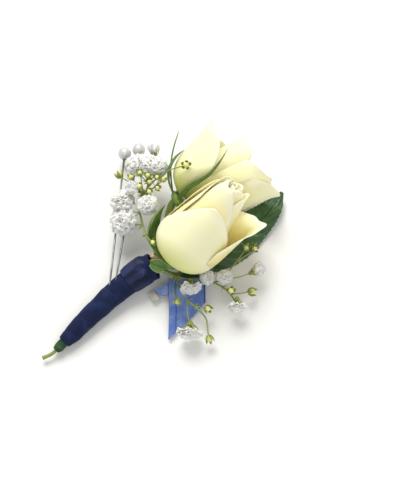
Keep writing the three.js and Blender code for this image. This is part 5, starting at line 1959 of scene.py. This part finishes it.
@dataclass(frozen=True)
class Lamp:
    """One soft square light that faces the flowers; places and sizes are in metres."""

    name: str
    at: Place
    size: float
    power: float
    colour: Colour

    def hang(self) -> None:
        """Hangs the light."""
        data = bpy.data.lights.new(self.name, "AREA")
        data.energy = self.power
        data.size = self.size
        data.color = self.colour
        back = unit(np.array(self.at) - vec(0, 0.01, 0.01))
        side = unit(np.cross(vec(0, 1, 0), back))
        set_up(bpy.data.objects.new(self.name, data), side, np.cross(back, side), back, self.at)


def set_up(made: bpy.types.Object, right: Array, up: Array, back: Array, at: Sequence[float]) -> None:
    """Links a lamp or camera, turned and put where it belongs."""
    bpy.context.scene.collection.objects.link(made)
    made.matrix_world = Matrix([[right[i], up[i], back[i], at[i]] for i in range(3)] + [[0, 0, 0, 1]])


@dataclass
class Studio:
    """Camera, floor and soft lights."""

    azimuth: float = 64.0
    elevation: float = 68.0
    roll: float = 17.5
    eye: Array = field(default_factory=lambda: vec(140.973, -50.230, 370.874))
    half_view: float = 0.25  # tangent of half the taller angle of view
    sensor: float = 36.0
    floor_half: float = 3.0
    air_colour: tuple[float, ...] = (1.0, 0.995, 0.98, 1.0)
    air_strength: float = 0.5
    lamps: tuple[Lamp, ...] = (
        Lamp("key", (-0.38, 0.30, 0.62), size=0.45, power=6.0, colour=(1.0, 0.99, 0.96)),
        Lamp("fill", (0.55, -0.15, 0.50), size=0.55, power=1.8, colour=(0.96, 0.98, 1.0)),
    )

    def build_camera(self) -> None:
        """Places the camera."""
        a, e, roll = (math.radians(x) for x in (self.azimuth, self.elevation, self.roll))
        back = vec(math.sin(a) * math.cos(e), -math.cos(a) * math.cos(e), math.sin(e))
        level = vec(math.cos(a), math.sin(a), 0)
        upright = np.cross(back, level)
        up = math.cos(roll) * upright + math.sin(roll) * level
        right = math.cos(roll) * level - math.sin(roll) * upright
        data = bpy.data.cameras.new("camera")
        data.sensor_width = self.sensor
        data.lens = self.sensor / (2 * self.half_view)
        data.clip_start = 0.01
        camera = bpy.data.objects.new("camera", data)
        set_up(camera, right, up, back, (self.eye + SHIFT) * MM)
        bpy.context.scene.camera = camera

    def build_floor(self) -> None:
        """Lays the floor."""
        mesh = bpy.data.meshes.new("floor")
        half = self.floor_half
        corners = [(-half, -half, 0), (half, -half, 0), (half, half, 0), (-half, half, 0)]
        mesh.from_pydata(corners, [], [(0, 1, 2, 3)])
        mesh.materials.append(Look.FLOOR.value.material())
        floor = bpy.data.objects.new("floor", mesh)
        bpy.context.scene.collection.objects.link(floor)

    def build_lights(self) -> None:
        """Hangs a large key light behind and to the left, a weaker one opposite, and lights the air."""
        world = bpy.data.worlds.new("air")
        world.use_nodes = True
        background = world.node_tree.nodes["Background"].inputs
        background["Color"].default_value = self.air_colour
        background["Strength"].default_value = self.air_strength
        bpy.context.scene.world = world
        for lamp in self.lamps:
            lamp.hang()
        bpy.context.scene.view_settings.view_transform = "Standard"


# ---------------------------------------------------------------- everything


def write_sizes() -> None:
    """Brings the scene up to date."""
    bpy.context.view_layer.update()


def main() -> None:
    """Builds every piece in order."""
    logging.basicConfig(level=logging.INFO, format="%(name)s: %(message)s")
    studio = Studio()
    studio.build_camera()
    bundle = Bundle()
    for rose in make_roses():
        rose.build_bloom()
        rose.build_green(bundle)
    LargeLeaf().build(bundle)
    SmallLeaf().build()
    for side, spray in (("left", left_spray(bundle)), ("right", right_spray(bundle))):
        spray.build_green()
        spray.build_florets(side)
    bundle.build_wrap()
    bundle.build_floral_tape()
    bundle.build_band()
    ribbon = Ribbon()
    ribbon.build_tail(ribbon.build_loop())
    TapeTab().build()
    for pin in PINS:
        pin.build()
    studio.build_floor()
    studio.build_lights()
    write_sizes()


if __name__ == "__main__":
    main()
